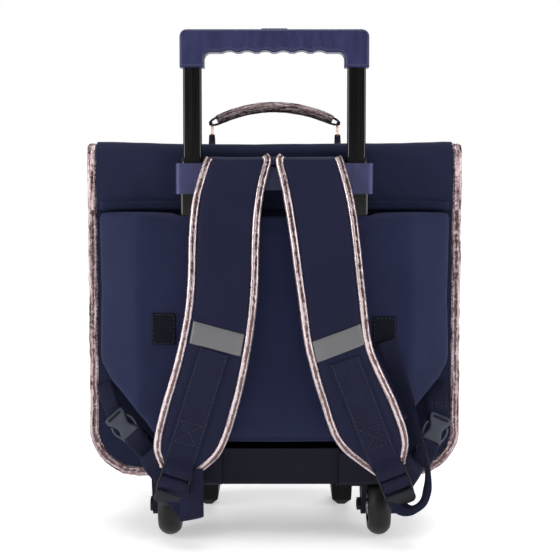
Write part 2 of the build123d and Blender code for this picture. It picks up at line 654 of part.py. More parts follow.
# the plug at the foot of each inner tube, with the bore of its lock pin
PLUG_TOP = PIN_Z + 10.0
PIN_TIP = TUBE_Y + INNER_TUBE[1] / 2 + 0.4
PIN_LENGTH = 5.5
with BuildPart() as inner_plugs:
    extrude(tube_section(INNER_BOTTOM - CAP, MIDDLE_TUBE, TUBE_WALL + 0.25), amount=CAP)
    extrude(tube_section(INNER_BOTTOM, INNER_TUBE, TUBE_WALL + 0.05), amount=PLUG_TOP - INNER_BOTTOM)
    with BuildSketch(upright(PIN_TIP)):
        with Locations((-TUBE_X, PIN_Z), (TUBE_X, PIN_Z)):
            Circle(PIN_RADIUS + PIN_GAP)
    extrude(amount=PIN_LENGTH + PIN_TRAVEL + 0.5, mode=Mode.SUBTRACT)
write("inner_plugs", inner_plugs.part)

with BuildPart() as lock_pins:
    with BuildSketch(upright(PIN_TIP)):
        with Locations((-TUBE_X, PIN_Z), (TUBE_X, PIN_Z)):
            Circle(PIN_RADIUS)
    extrude(amount=PIN_LENGTH)
write("lock_pins", lock_pins.part)

# the grip: two legs and a bar with finger notches, hollow for the release mechanism
GRIP_HALF = TUBE_X + GRIP_LEG / 2
BAR_BOTTOM = GRIP_TOP - GRIP_BAR
NOTCH_WIDE = 2 * sqrt(NOTCH_RADIUS**2 - (NOTCH_RADIUS - NOTCH_DEEP) ** 2)
NOTCH_ROOM = 2 * (GRIP_HALF - GRIP_LEG - NOTCH_MARGIN) - NOTCH_WIDE
NOTCH_COUNT = 1 + int(NOTCH_ROOM / NOTCH_PITCH)
with BuildPart() as grip:
    with BuildSketch(upright(TUBE_Y + GRIP_DEPTH / 2)) as grip_outline:
        with Locations((0, (GRIP_BOTTOM + GRIP_TOP) / 2)):
            Rectangle(2 * GRIP_HALF, GRIP_TOP - GRIP_BOTTOM)
        fillet(grip_outline.vertices().group_by(Axis.Y)[-1], 8.0)
        with BuildSketch(mode=Mode.PRIVATE) as hand_gap:
            with Locations((0, (GRIP_BOTTOM + BAR_BOTTOM) / 2)):
                Rectangle(2 * (GRIP_HALF - GRIP_LEG), BAR_BOTTOM - GRIP_BOTTOM)
            fillet(hand_gap.vertices().group_by(Axis.Y)[-1], 7.0)
        add(hand_gap.sketch, mode=Mode.SUBTRACT)
        with Locations((0, BAR_BOTTOM - NOTCH_RADIUS + NOTCH_DEEP)):
            with GridLocations(NOTCH_PITCH, 0, NOTCH_COUNT, 1):
                Circle(NOTCH_RADIUS, mode=Mode.SUBTRACT)
    extrude(amount=GRIP_DEPTH)
    rim = grip.faces().filter_by(Axis.Y)
    fillet(rim.edges(), 3.5)
    cavity_half = TUBE_X + 4.5
    with BuildSketch(Plane.XY.offset(CAVITY_FLOOR)):
        with Locations((0, TUBE_Y)):
            Rectangle(2 * cavity_half, BUTTON[1] + 1.0)
    extrude(amount=CAVITY_TOP - CAVITY_FLOOR, mode=Mode.SUBTRACT)
    with BuildSketch(Plane.XY.offset(CAVITY_TOP)):
        with Locations((0, TUBE_Y)):
            Rectangle(BUTTON[0] + 2 * BUTTON_GAP, BUTTON[1] + 2 * BUTTON_GAP)
    extrude(amount=GRIP_TOP - CAVITY_TOP, mode=Mode.SUBTRACT)
    extrude(
        tube_section(GRIP_BOTTOM, INNER_TUBE, -0.1),
        amount=CAVITY_FLOOR - GRIP_BOTTOM,
        mode=Mode.SUBTRACT,
    )
write("grip", grip.part)

with BuildPart() as release_button:
    with BuildSketch(Plane.XY.offset(CROSSBAR_BOTTOM)):
        with Locations((0, TUBE_Y)):
            Rectangle(2 * (TUBE_X + ROD_RADIUS), BUTTON[1] - 2.0)
    extrude(amount=CROSSBAR)
    with BuildSketch(Plane.XY.offset(CROSSBAR_BOTTOM + CROSSBAR)):
        with Locations((0, TUBE_Y)):
            Rectangle(BUTTON[0], BUTTON[1])
    extrude(amount=GRIP_TOP + BUTTON_PROUD - CROSSBAR_BOTTOM - CROSSBAR)
    fillet(release_button.faces().sort_by(Axis.Z)[-1].edges(), 1.0)
write("release_button", release_button.part)

ROD_BOTTOM = PLUG_TOP + 6.0
with BuildPart() as push_rods:
    with BuildSketch(Plane.XY.offset(ROD_BOTTOM)):
        with Locations((-TUBE_X, TUBE_Y), (TUBE_X, TUBE_Y)):
            Circle(ROD_RADIUS)
    extrude(amount=CROSSBAR_BOTTOM - ROD_BOTTOM)
write("push_rods", push_rods.part)

SPRING_WIRE = 0.4
SPRING_RADIUS = 3.0
with BuildPart() as button_spring:
    spring_height = CROSSBAR_BOTTOM - CAVITY_FLOOR - 2 * SPRING_WIRE
    with BuildLine() as coil:
        Helix(
            pitch=spring_height / 3,
            height=spring_height,
            radius=SPRING_RADIUS,
            center=(0, TUBE_Y, CAVITY_FLOOR + SPRING_WIRE),
        )
    with BuildSketch(Plane(origin=coil.line @ 0, z_dir=coil.line % 0)):
        Circle(SPRING_WIRE)
    sweep()
write("button_spring", button_spring.part)

# ================================================================== wheels, feet and screws
for name, side in SIDES.items():
    centre = Plane(origin=(side * WHEEL_X, AXLE_Y, AXLE_Z), x_dir=(1, 0, 0), z_dir=(0, -1, 0))
    axis = Axis((side * WHEEL_X, AXLE_Y, AXLE_Z), (1, 0, 0))
    half = WHEEL_WIDTH / 2
    with BuildPart() as tyre:
        with BuildSketch(centre):
            with BuildLine():
                Line((-half, HUB_RADIUS), (-half, WHEEL_RADIUS - 7.0))
                ThreePointArc((-half, WHEEL_RADIUS - 7.0), (0, WHEEL_RADIUS), (half, WHEEL_RADIUS - 7.0))
                Line((half, WHEEL_RADIUS - 7.0), (half, HUB_RADIUS))
                Line((half, HUB_RADIUS), (-half, HUB_RADIUS))
            make_face()
        revolve(axis=axis)
    write(f"tyre_{name}", tyre.part)

    with BuildPart() as hub:
        with BuildSketch(centre):
            with Locations((0, (HUB_RADIUS + 9.5) / 2)):
                Rectangle(2 * half, HUB_RADIUS - 9.5)
            for end in (-1, 1):
                with Locations((end * (half - BEARING[2] / 2), (BEARING[1] + 9.0) / 2)):
                    Rectangle(BEARING[2], BEARING[1] - 9.0, mode=Mode.SUBTRACT)
                with Locations((end * (half - 2.5), 16.5)):
                    Rectangle(5.0, 6.0, mode=Mode.SUBTRACT)
        revolve(axis=axis)
    write(f"hub_{name}", hub.part)

    with BuildPart() as bearings:
        with BuildSketch(centre):
            for end in (-1, 1):
                with Locations((end * (half - BEARING[2] / 2), (BEARING[0] + BEARING[1]) / 2)):
                    Rectangle(BEARING[2], BEARING[1] - BEARING[0])
        revolve(axis=axis)
    write(f"bearings_{name}", bearings.part)

AXLE_HALF = FORK_INSIDE + FORK_PLATE
with BuildPart() as axles:
    for side in SIDES.values():
        with BuildSketch(Plane.YZ.offset(side * (WHEEL_X - AXLE_HALF - 5.0))):
            with Locations((AXLE_Y, AXLE_Z)):
                Circle(AXLE_RADIUS)
        extrude(amount=side * (2 * AXLE_HALF + 5.0))
        with BuildSketch(Plane.YZ.offset(side * (WHEEL_X + AXLE_HALF))):
            with Locations((AXLE_Y, AXLE_Z)):
                Circle(2 * AXLE_RADIUS)
        extrude(amount=side * 3.0)
write("axles", axles.part)

with BuildPart() as axle_nuts:
    for side in SIDES.values():
        with BuildSketch(Plane.YZ.offset(side * (WHEEL_X - AXLE_HALF - 4.5))):
            with Locations((AXLE_Y, AXLE_Z)):
                RegularPolygon(7.0, 6)
                Circle(AXLE_RADIUS + SCREW_GAP, mode=Mode.SUBTRACT)
        extrude(amount=side * 4.5)
write("axle_nuts", axle_nuts.part)

SPACER_GAP = 0.1
with BuildPart() as axle_spacers:
    for side in SIDES.values():
        for end in (-1, 1):
            start = WHEEL_WIDTH / 2 + SPACER_GAP
            with BuildSketch(Plane.YZ.offset(side * WHEEL_X + end * start)):
                with Locations((AXLE_Y, AXLE_Z)):
                    Circle(AXLE_RADIUS + 2.0)
                    Circle(AXLE_RADIUS + SCREW_GAP, mode=Mode.SUBTRACT)
            extrude(amount=end * (FORK_INSIDE - start))
write("axle_spacers", axle_spacers.part)

with BuildPart() as front_feet:
    for side in SIDES.values():
        with BuildSketch(Plane.XZ.offset(-(FOOT_Y + FOOT_LENGTH / 2))):
            with BuildLine():
                Polyline(
                    (side * FOOT_X - FOOT_WIDTH / 2 - 3.0, BAG_BOTTOM),
                    (side * FOOT_X + FOOT_WIDTH / 2 + 3.0, BAG_BOTTOM),
                    (side * FOOT_X + FOOT_WIDTH / 2, 8.0),
                    (side * FOOT_X + 4.0, 0.0),
                    (side * FOOT_X - 4.0, 0.0),
                    (side * FOOT_X - FOOT_WIDTH / 2, 8.0),
                    close=True,
                )
            make_face()
        extrude(amount=FOOT_LENGTH)
    end_edges = front_feet.edges().filter_by(Axis.X).group_by(Axis.Z)[0]
    chamfer(end_edges, 7.0)
    with BuildSketch(Plane.XY.offset(BAG_BOTTOM - FOOT_SCREW_DEPTH)):
        with Locations(*FOOT_SCREWS):
            Circle(SCREW_HOLE)
    extrude(amount=FOOT_SCREW_DEPTH, mode=Mode.SUBTRACT)
write("front_feet", front_feet.part)

HEAD_THICK = 2.5
foot_head = BAG_BOTTOM + WALL + BOARD
with BuildPart() as screws:
    with BuildSketch(Plane.XY.offset(BAG_BOTTOM - FOOT_SCREW_DEPTH)):
        with Locations(*FOOT_SCREWS):
            Circle(SCREW_RADIUS)
    extrude(amount=foot_head - BAG_BOTTOM + FOOT_SCREW_DEPTH)
    with BuildSketch(Plane.XY.offset(foot_head)):
        with Locations(*FOOT_SCREWS):
            Circle(SCREW_HEAD)
    extrude(amount=HEAD_THICK)
    with BuildSketch(upright(INSIDE)):
        with Locations(*FRAME_SCREWS):
            Circle(SCREW_RADIUS)
    extrude(amount=INSIDE - SCREW_END)
    with BuildSketch(upright(INSIDE + HEAD_THICK)):
        with Locations(*FRAME_SCREWS):
            Circle(SCREW_HEAD)
    extrude(amount=HEAD_THICK)
write("screws", screws.part)

# ================================================================== the padded back panel
with BuildPart() as back_panel:
    with BuildSketch(Plane.XY.offset(PANEL_BOTTOM)):
        with BuildLine():
            Polyline(
                (-PANEL_HALF, BACK),
                (-PANEL_HALF, BACK - PANEL_EDGE),
                (-PANEL_FLAT, BACK - PANEL_OUT),
                (PANEL_FLAT, BACK - PANEL_OUT),
                (PANEL_HALF, BACK - PANEL_EDGE),
                (PANEL_HALF, BACK),
                close=True,
            )
        make_face()
        with Locations((0, BACK - PANEL_CAVITY[1] / 2)):
            Rectangle(2 * PANEL_CAVITY[0], PANEL_CAVITY[1], mode=Mode.SUBTRACT)
    extrude(amount=PANEL_TOP - PANEL_BOTTOM)
    with BuildSketch(upright(BACK)):
        with BuildLine():
            Polyline(
                (-PANEL_FOOT_HALF, PANEL_BOTTOM),
                (-PANEL_BEND[0], PANEL_BEND[1]),
                (-PANEL_HALF, PANEL_CORNER_TOP),
                (-PANEL_HALF, PANEL_TOP),
                (PANEL_HALF, PANEL_TOP),
                (PANEL_HALF, PANEL_CORNER_TOP),
                PANEL_BEND,
                (PANEL_FOOT_HALF, PANEL_BOTTOM),
                close=True,
            )
        make_face()
    extrude(amount=PANEL_OUT, mode=Mode.INTERSECT)
write("back_panel", back_panel.part)

with BuildPart() as hook_patches:
    with BuildSketch(upright(BACK - PANEL_OUT)):
        with Locations(*[splayed(*place) for place in PATCH_PLACES]):
            RectangleRounded(PATCH[0], PATCH[1], 2.0)
    extrude(amount=PATCH[2])
write("hook_patches", hook_patches.part)

# ================================================================== the shoulder straps


def strap_layer(from_face, to_face):
    """A curved layer as wide as the bag, between two distances behind the straps' outer face."""
    outer = [(BACK - out + from_face, z) for out, z in STRAP_FACE]
    inner = [(BACK - out + to_face, z) for out, z in STRAP_FACE]
    with BuildPart() as layer:
        with BuildSketch(Plane.YZ):
            with BuildLine():
                ThreePointArc(*outer)
                Line(outer[-1], (outer[-1][0], STRAP_FACE_END))
                Line((outer[-1][0], STRAP_FACE_END), (inner[-1][0], STRAP_FACE_END))
                Line((inner[-1][0], STRAP_FACE_END), inner[-1])
                ThreePointArc(*inner)
                Line(inner[0], outer[0])
            make_face()
        extrude(amount=HALF, both=True)
    return layer.part


def strap_outline(name, inset):
    outer, inner = [[splayed(*point) for point in edge] for edge in STRAP_EDGES[name]]
    with BuildSketch(upright(BACK)) as outline:
        with BuildLine():
            FilletPolyline(*outer, radius=STRAP_BEND)
            FilletPolyline(*inner, radius=STRAP_BEND)
            Line(outer[0], inner[0])
            Line(outer[-1], inner[-1])
        make_face()
        if inset:
            offset(amount=-inset, kind=Kind.INTERSECTION)
    return outline.sketch


PADDING = strap_layer(0, STRAP_THICK)
COVER = strap_layer(-WEBBING, 0)
THROUGH = 100.0

for name in SIDES:
    inside = strap_outline(name, PIPING)
    with BuildPart() as strap:
        add(PADDING)
        extrude(inside, amount=THROUGH, mode=Mode.INTERSECT)
    write(f"strap_{name}", strap.part)

whole_straps = [strap_outline(name, 0) for name in SIDES]
strap_insides = [strap_outline(name, PIPING) for name in SIDES]
with BuildPart() as strap_piping:
    for whole in whole_straps:
        extrude(whole, amount=THROUGH)
    for inside in strap_insides:
        extrude(inside, amount=THROUGH, mode=Mode.SUBTRACT)
    add(PADDING, mode=Mode.INTERSECT)
write("strap_piping", strap_piping.part)

for node, shapes in (("reflective_bands", REFLECTOR), ("strap_webbing", STRAP_WEBBING)):
    pieces = [polygon(upright(BACK), [splayed(*point) for point in points]) for points in shapes.values()]
    with BuildPart() as cover:
        for piece in pieces:
            extrude(piece, amount=THROUGH)
        add(COVER, mode=Mode.INTERSECT)
    write(node, cover.part)

# the fabric that carries the straps' upper ends, over the bracket, to the rear wall
with BuildPart() as strap_anchor:
    strap_top_y = BACK - STRAP_FACE[0][0]
    with BuildSketch(Plane.XY.offset(STRAP_TOP)):
        with Locations((0, (strap_top_y + BACK - YOKE_THICK) / 2)):
            Rectangle(2 * (TUBE_X - MIDDLE_TUBE[0] / 2 - 2.0), BACK - YOKE_THICK - strap_top_y)
    extrude(amount=ANCHOR_TOP - STRAP_TOP)
write("strap_anchor", strap_anchor.part)

# ================================================================== ladder locks, webbing and buckles
LOCK_BACK = BACK - STRAP_FACE[-1][0] - WEBBING - LOCK_GAP
LOCK_FRONT = LOCK_BACK - LOCK_SIZE[2]


def turned(y, x, z, turn):
    """An upright plane at depth y, centred on (x, z) and turned in its own plane."""
    up = radians(turn)
    return Plane(origin=(x, y, z), x_dir=(cos(up), 0, sin(up)), z_dir=(0, -1, 0))


with BuildPart() as ladder_locks:
    for x, z, turn in LOCK.values():
        with BuildSketch(turned(LOCK_BACK, *splayed(x, z), turn)):
            RectangleRounded(LOCK_SIZE[0], LOCK_SIZE[1], 3.0)
            with GridLocations(0, 13.0, 1, 2):
                Rectangle(LOCK_SLOT[0], LOCK_SLOT[1], mode=Mode.SUBTRACT)
        extrude(amount=LOCK_SIZE[2])
write("ladder_locks", ladder_locks.part)


def strip(start, end, path, width, thick=WEBBING):
    """Webbing that runs from start to end as seen from behind, with its depth given along the way."""
    run = Vector(end[0] - start[0], 0, end[1] - start[1])
    plane = Plane(origin=(start[0], BACK, start[1]), x_dir=run, z_dir=run.cross(Vector(0, 1, 0)))
    with BuildPart() as webbing:
        with BuildSketch(plane):
            with BuildLine():
                FilletPolyline(*[(along, -out) for along, out in path], radius=3.0)
            trace(line_width=thick)
        extrude(amount=width / 2, both=True)
    return webbing.part


with BuildPart() as load_webbing:
    for name in SIDES:
        start, end = [splayed(*point) for point in LOAD_ENDS[name]]
        length = Vector(end[0] - start[0], end[1] - start[1]).length
        first = (0.0, BACK - LOCK_BACK - WEBBING / 2)
        way = [first, *LOAD_PATH[name], (length + PLUG_BASE - 4.0, BUCKLE_OUT - BUCKLE_THICK - WEBBING / 2)]
        add(strip(start, end, way, WEBBING_WIDTH))
write("load_webbing", load_webbing.part)

with BuildPart() as buckle_plugs:
    for name in SIDES:
        x, z = splayed(*LOAD_ENDS[name][1])
        with BuildSketch(turned(BACK - BUCKLE_OUT + BUCKLE_THICK, x, z, BUCKLE_TURN[name])):
            with Locations((0, PLUG_BASE / 2)):
                Rectangle(BUCKLE_WIDTH - 3.0, PLUG_BASE)
            with Locations((0, PLUG_BASE / 2 - 2.0)):
                Rectangle(BUCKLE_WIDTH - 9.0, 4.5, mode=Mode.SUBTRACT)
        extrude(amount=BUCKLE_THICK)
        middle = BACK - BUCKLE_OUT + (BUCKLE_THICK + PRONG[2]) / 2
        with BuildSketch(turned(middle, x, z, BUCKLE_TURN[name])):
            for end in (-1, 1):
                with Locations((end * (BUCKLE_WIDTH / 2 - 4.5), PLUG_BASE + PRONG[1] / 2)):
                    Rectangle(PRONG[0], PRONG[1])
        extrude(amount=PRONG[2])
write("buckle_plugs", buckle_plugs.part)

with BuildPart() as buckle_sockets:
    for name in SIDES:
        x, z = splayed(*LOAD_ENDS[name][1])
        turn = BUCKLE_TURN[name]
        base_line = PLUG_BASE + BUCKLE_GAP
        with BuildSketch(turned(BACK - BUCKLE_OUT + BUCKLE_THICK, x, z, turn)) as socket_face:
            with Locations((0, base_line + SOCKET_LENGTH / 2)):
                RectangleRounded(BUCKLE_WIDTH, SOCKET_LENGTH, 2.5)
            with Locations((0, base_line + SOCKET_LENGTH - 6.0)):
                Rectangle(BUCKLE_WIDTH - 9.0, 4.5, mode=Mode.SUBTRACT)
        extrude(amount=BUCKLE_THICK)
    for name in SIDES:
        x, z = splayed(*LOAD_ENDS[name][1])
        middle = BACK - BUCKLE_OUT + (BUCKLE_THICK + PRONG[2]) / 2 + BUCKLE_GAP
        with BuildSketch(turned(middle, x, z, BUCKLE_TURN[name])):
            with Locations((0, PLUG_BASE + PRONG[1] / 2)):
                Rectangle(BUCKLE_WIDTH - 4.0, PRONG[1] + 2 * BUCKLE_GAP)
        extrude(amount=PRONG[2] + 2 * BUCKLE_GAP, mode=Mode.SUBTRACT)
write("buckle_sockets", buckle_sockets.part)

TAB_FRONT = BACK - BUCKLE_OUT + BUCKLE_THICK
with BuildPart() as anchor_tabs:
    for low_x, high_x, low_z, high_z in ANCHOR_TAB.values():
        with BuildSketch(upright(TAB_FRONT + WEBBING)):
            with Locations(splayed((low_x + high_x) / 2, (low_z + high_z) / 2)):
                Rectangle(high_x - low_x, high_z - low_z)
        extrude(amount=WEBBING)
        with BuildSketch(upright(BACK)):
            with Locations(splayed((low_x + high_x) / 2, high_z - 4.0)):
                Rectangle(high_x - low_x, 8.0)
        extrude(amount=BACK - TAB_FRONT)
write("anchor_tabs", anchor_tabs.part)

TAIL_OUT = BACK - LOCK_FRONT + WEBBING / 2  # the tails hang in front of the ladder locks
TAIL_FOLD = 7.0
with BuildPart() as webbing_tails:
    down = [(30.0, TAIL_OUT), (-15.0, TAIL_OUT), (-15.0, TAIL_OUT - TAIL_FOLD), (10.0, TAIL_OUT - TAIL_FOLD)]
    add(strip(splayed(-90.0, 42.0), splayed(-90.0, 90.0), down, TAIL_WIDTH + 4.0))
    round_way = [
        (20.0, TAIL_OUT),
        (-12.0, TAIL_OUT),
        (-12.0, TAIL_OUT - TAIL_FOLD),
        (56.0, TAIL_OUT - TAIL_FOLD),
        (98.0, 41.0),
        (190.0, 41.0),
    ]
    tail_foot = splayed(157.0, 52.0)
    add(strip(tail_foot, (tail_foot[0] - 16.0, 250.0), round_way, TAIL_WIDTH))
write("webbing_tails", webbing_tails.part)
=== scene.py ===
"""School satchel on wheels: the looks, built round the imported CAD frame.

Metres, +Z up. The shoulder straps and the trolley tubes are on the -Y side. Each sewn piece but the back panel
is a grid of points laid along its own seams. It carries a UV map in metres, which webbing ribs and tape creases
follow.
"""

import math

import bmesh
import bpy
import numpy as np
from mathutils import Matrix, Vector, noise
from mathutils.bvhtree import BVHTree


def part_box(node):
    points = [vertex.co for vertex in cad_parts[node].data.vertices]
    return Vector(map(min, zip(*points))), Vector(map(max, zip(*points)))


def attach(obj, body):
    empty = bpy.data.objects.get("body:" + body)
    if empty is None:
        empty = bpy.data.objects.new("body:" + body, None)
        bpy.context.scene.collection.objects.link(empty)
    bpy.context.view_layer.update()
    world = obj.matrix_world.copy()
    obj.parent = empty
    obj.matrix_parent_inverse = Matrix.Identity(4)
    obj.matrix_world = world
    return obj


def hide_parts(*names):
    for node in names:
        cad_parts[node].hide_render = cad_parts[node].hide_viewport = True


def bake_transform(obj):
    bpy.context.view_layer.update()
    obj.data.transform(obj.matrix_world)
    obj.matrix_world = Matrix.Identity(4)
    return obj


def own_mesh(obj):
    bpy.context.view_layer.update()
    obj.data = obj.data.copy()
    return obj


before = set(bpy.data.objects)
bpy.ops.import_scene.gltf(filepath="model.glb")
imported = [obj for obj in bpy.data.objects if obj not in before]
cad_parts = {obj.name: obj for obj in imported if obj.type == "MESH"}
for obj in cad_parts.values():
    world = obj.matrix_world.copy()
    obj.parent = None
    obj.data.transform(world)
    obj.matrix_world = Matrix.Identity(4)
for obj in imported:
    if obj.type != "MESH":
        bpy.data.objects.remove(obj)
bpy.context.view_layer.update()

# ------------------------------------------------------------------ places, from the frame
X, Y, Z = (np.array(axis, float) for axis in ((1, 0, 0), (0, 1, 0), (0, 0, 1)))
body_low, body_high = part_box("bag_body")
BACK, FRONT = body_low.y, body_high.y
HALF, BOTTOM, RIM = body_high.x, body_low.z, body_high.z
CORNER = 0.044
BINDING = 0.010
flap_low, flap_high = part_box("flap")
FLAP_OUT, FLAP_TOP, FLAP_END = flap_high.y, flap_high.z, flap_low.z
YOKE_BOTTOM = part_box("flap_yoke")[0].z
STRAP_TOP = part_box("strap_left")[1].z
SIDES = {"left": -1, "right": 1}


# ------------------------------------------------------------------ points, curves and meshes
def ripple(points, size, seed=0.0):
    """Smooth noise from -1 to 1 at each point, with features about size metres across."""
    flat = np.reshape(points, (-1, 3)) / size + seed
    return np.array([noise.noise(Vector(p)) for p in flat]).reshape(np.shape(points)[:-1])


def unit(vectors):
    return vectors / np.linalg.norm(vectors, axis=-1, keepdims=True)


def powered(values, power):
    """The size of each value raised to a power, with its sign kept."""
    return np.sign(values) * np.abs(values) ** power


def bell(values, middle, spread):
    """A smooth hump over the middle, 1 high."""
    return np.exp(-(((values - middle) / spread) ** 2))


def around(count):
    """Angles evenly spaced round a circle."""
    return np.linspace(0, 2 * math.pi, count, endpoint=False)


def shares(count):
    return np.linspace(0, 1, count)


def columns(x, y, z):
    """Points from their coordinates, each a row of numbers or one number for all."""
    return np.stack(np.broadcast_arrays(x, y, z), axis=-1)


def run_of(points):
    """How far along a polyline each of its points lies."""
    return np.concatenate([[0], np.cumsum(np.linalg.norm(np.diff(points, axis=0), axis=1))])


def read_off(rows, run, at):
    """Rows of numbers that belong to the distances run, read off at other distances."""
    return np.stack([np.interp(at, run, column) for column in np.transpose(rows)], axis=1)


def spaced(points, step):
    """The same polyline, with points evenly spaced about step apart."""
    run = run_of(points)
    return read_off(points, run, np.linspace(0, run[-1], max(3, int(round(run[-1] / step)) + 1)))


def curve(points, step=0.003):
    """Evenly spaced points on the smooth curve through the given ones."""
    p = np.array(points, float)
    p = np.vstack([2 * p[0] - p[1], p, 2 * p[-1] - p[-2]])
    dense = []
    for a, b, c, d in zip(p, p[1:], p[2:], p[3:]):
        t = np.linspace(0, 1, 30, endpoint=False)[:, None]
        turn = (2 * a - 5 * b + 4 * c - d) * t**2 + (-a + 3 * b - 3 * c + d) * t**3
        dense.append((2 * b + (c - a) * t + turn) / 2)
    return spaced(np.vstack([*dense, p[-2:-1]]), step)


def superellipse(width, thick, power, count=20):
    """A closed flat section, as (across, up) pairs."""
    turn = around(count)
    across = powered(np.cos(turn), 2 / power) * width / 2
    return np.stack([across, powered(np.sin(turn), 2 / power) * thick / 2], axis=1)


def shaped(name, points, faces, uvs, material, sharp=50):
    """A mesh object with one UV pair, in metres, for each corner of each face."""
    mesh = bpy.data.meshes.new(name)
    mesh.from_pydata(np.asarray(points).tolist(), [], faces)
    layer = mesh.uv_layers.new(name="flat")
    layer.data.foreach_set("uv", np.asarray(uvs, np.float32).ravel())
    mesh.polygons.foreach_set("use_smooth", [True] * len(mesh.polygons))
    mesh.set_sharp_from_angle(angle=math.radians(sharp))
    mesh.materials.append(material)
    mesh.validate()
    made = bpy.data.objects.new(name, mesh)
    bpy.context.scene.collection.objects.link(made)
    return made


def lengths(grid, axis):
    """How far along the grid each row or column lies, averaged over the other direction."""
    steps = np.linalg.norm(np.diff(grid, axis=axis), axis=2).mean(axis=1 - axis)
    return np.concatenate([[0], np.cumsum(steps)])


def grid_faces(rows, width, wrap, caps):
    """A grid's faces, each as its corners' (row, column). A row that wraps round ends one column on."""
    faces = []
    cells = width if wrap else width - 1
    for i in range(rows - 1):
        faces += [[(i, j), (i, j + 1), (i + 1, j + 1), (i + 1, j)] for j in range(cells)]
    if caps:
        faces.append([(0, j) for j in reversed(range(width))])
        faces.append([(rows - 1, j) for j in range(width)])
    return faces


def skin(name, grid, material, wrap=False, caps=False, sharp=50):
    """A surface through a grid of points, rows by columns, whose rows close on themselves if wrap is set."""
    rows, width = grid.shape[:2]
    along = lengths(grid, 0)
    across = lengths(np.concatenate([grid, grid[:, :1]], axis=1), 1)
    corners = grid_faces(rows, width, wrap, caps)
    faces = [[i * width + j % width for i, j in face] for face in corners]
    uvs = [(across[j], along[i]) for face in corners for i, j in face]
    return shaped(name, grid.reshape(-1, 3), faces, uvs, material, sharp)


def frames(path, side):
    """For each point of a path: the direction across it, nearest to side, and the one square to both."""
    tangent = unit(np.gradient(path, axis=0))
    side = np.broadcast_to(np.array(side, float), path.shape)
    across = unit(side - (side * tangent).sum(axis=1, keepdims=True) * tangent)
    return across, np.cross(across, tangent)


def sweep(name, path, side, section, material, sharp=50):
    """A closed strip or tube along a path. The section may change along it."""
    across, up = frames(path, side)
    section = np.broadcast_to(section, (len(path), *np.shape(section)[-2:]))
    grid = path[:, None] + section[..., :1] * across[:, None] + section[..., 1:] * up[:, None]
    return skin(name, grid[::-1], material, wrap=True, caps=True, sharp=sharp)


def thicken(piece, thickness):
    """Gives a sheet its thickness, and makes that part of its mesh."""
    shell = piece.modifiers.new("thick", "SOLIDIFY")
    shell.thickness = thickness
    settle(piece)


def settle(piece):
    """Applies a piece's modifiers."""
    depsgraph = bpy.context.evaluated_depsgraph_get()
    mesh = bpy.data.meshes.new_from_object(piece.evaluated_get(depsgraph))
    piece.modifiers.clear()
    piece.data = mesh
    mesh.polygons.foreach_set("use_smooth", [True] * len(mesh.polygons))


def joined(name, pieces):
    """Several objects made into one piece."""
    chosen = {"selected_objects": pieces, "selected_editable_objects": pieces}
    if len(pieces) > 1:
        with bpy.context.temp_override(active_object=pieces[0], object=pieces[0], **chosen):
            bpy.ops.object.join()
    pieces[0].name = name
    return pieces[0]


def placed(piece, body, slot, *stands_for):
    """Puts a piece on its body and hides the CAD nodes it stands for. slot is not used."""
    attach(piece, body)
    if stands_for:
        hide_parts(*stands_for)


# ------------------------------------------------------------------ material parts
def new_material(name, colour, roughness, **sockets):
    """A Principled material and its nodes. Sockets are given by their names, with spaces as underscores."""
    material = bpy.data.materials.new(name)
    material.use_nodes = True
    shader = material.node_tree.nodes["Principled BSDF"]
    shader.inputs["Base Color"].default_value = (*colour, 1)
    shader.inputs["Roughness"].default_value = roughness
    for socket, value in sockets.items():
        shader.inputs[socket.replace("_", " ")].default_value = value
    return material, material.node_tree


def node(tree, kind, inputs, **settings):
    """A new node. A value in inputs is set on the socket, and a socket is linked to it."""
    made = tree.nodes.new(kind)
    for key, value in settings.items():
        setattr(made, key, value)
    for socket, value in inputs.items():
        if isinstance(value, bpy.types.NodeSocket):
            tree.links.new(value, made.inputs[socket])
        else:
            made.inputs[socket].default_value = value
    return made


def coated(material, colour, layers, roughness=None):
    """Gives a material its colour, its roughness and layers of bumps, as (height, metres, strength)."""
    tree, normal = material.node_tree, None
    for height, distance, strength in layers:
        inputs = {"Height": height, "Distance": distance, "Strength": strength}
        if normal:
            inputs["Normal"] = normal
        normal = node(tree, "ShaderNodeBump", inputs).outputs[0]
    for socket, value in (("Base Color", colour), ("Roughness", roughness), ("Normal", normal)):
        if value:
            tree.links.new(value, tree.nodes["Principled BSDF"].inputs[socket])
    return material


def times(colour, share):
    return tuple(share * c for c in colour)


def place_of(tree, stretch=(1, 1, 1), flat=False):
    """Coordinates in metres: of the piece in space, or flat along its seams, stretched per axis."""
    if flat:
        start = node(tree, "ShaderNodeUVMap", {}, uv_map="flat").outputs[0]
    else:
        start = node(tree, "ShaderNodeTexCoord", {}).outputs["Object"]
    return node(tree, "ShaderNodeMapping", {"Vector": start, "Scale": stretch}).outputs[0]


def split(tree, vector):
    return node(tree, "ShaderNodeSeparateXYZ", {0: vector}).outputs


def noise_of(tree, place, scale, detail=2.0):
    return node(tree, "ShaderNodeTexNoise", {"Vector": place, "Scale": scale, "Detail": detail}).outputs[0]


def mixed(tree, factor, first, second):
    """A colour between two, each a colour or a socket."""
    ends = [end if isinstance(end, bpy.types.NodeSocket) else (*end, 1) for end in (first, second)]
    return node(tree, "ShaderNodeMix", {0: factor, 6: ends[0], 7: ends[1]}, data_type="RGBA").outputs[2]


def ranged(tree, value, low, high, to_low=0.0, to_high=1.0):
    """A value moved from one range to another, and kept within it."""
    inputs = {0: value, 1: low, 2: high, 3: to_low, 4: to_high}
    return node(tree, "ShaderNodeMapRange", inputs).outputs[0]


def math_of(tree, operation, first, second=0.0):
    return node(tree, "ShaderNodeMath", {0: first, 1: second}, operation=operation).outputs[0]


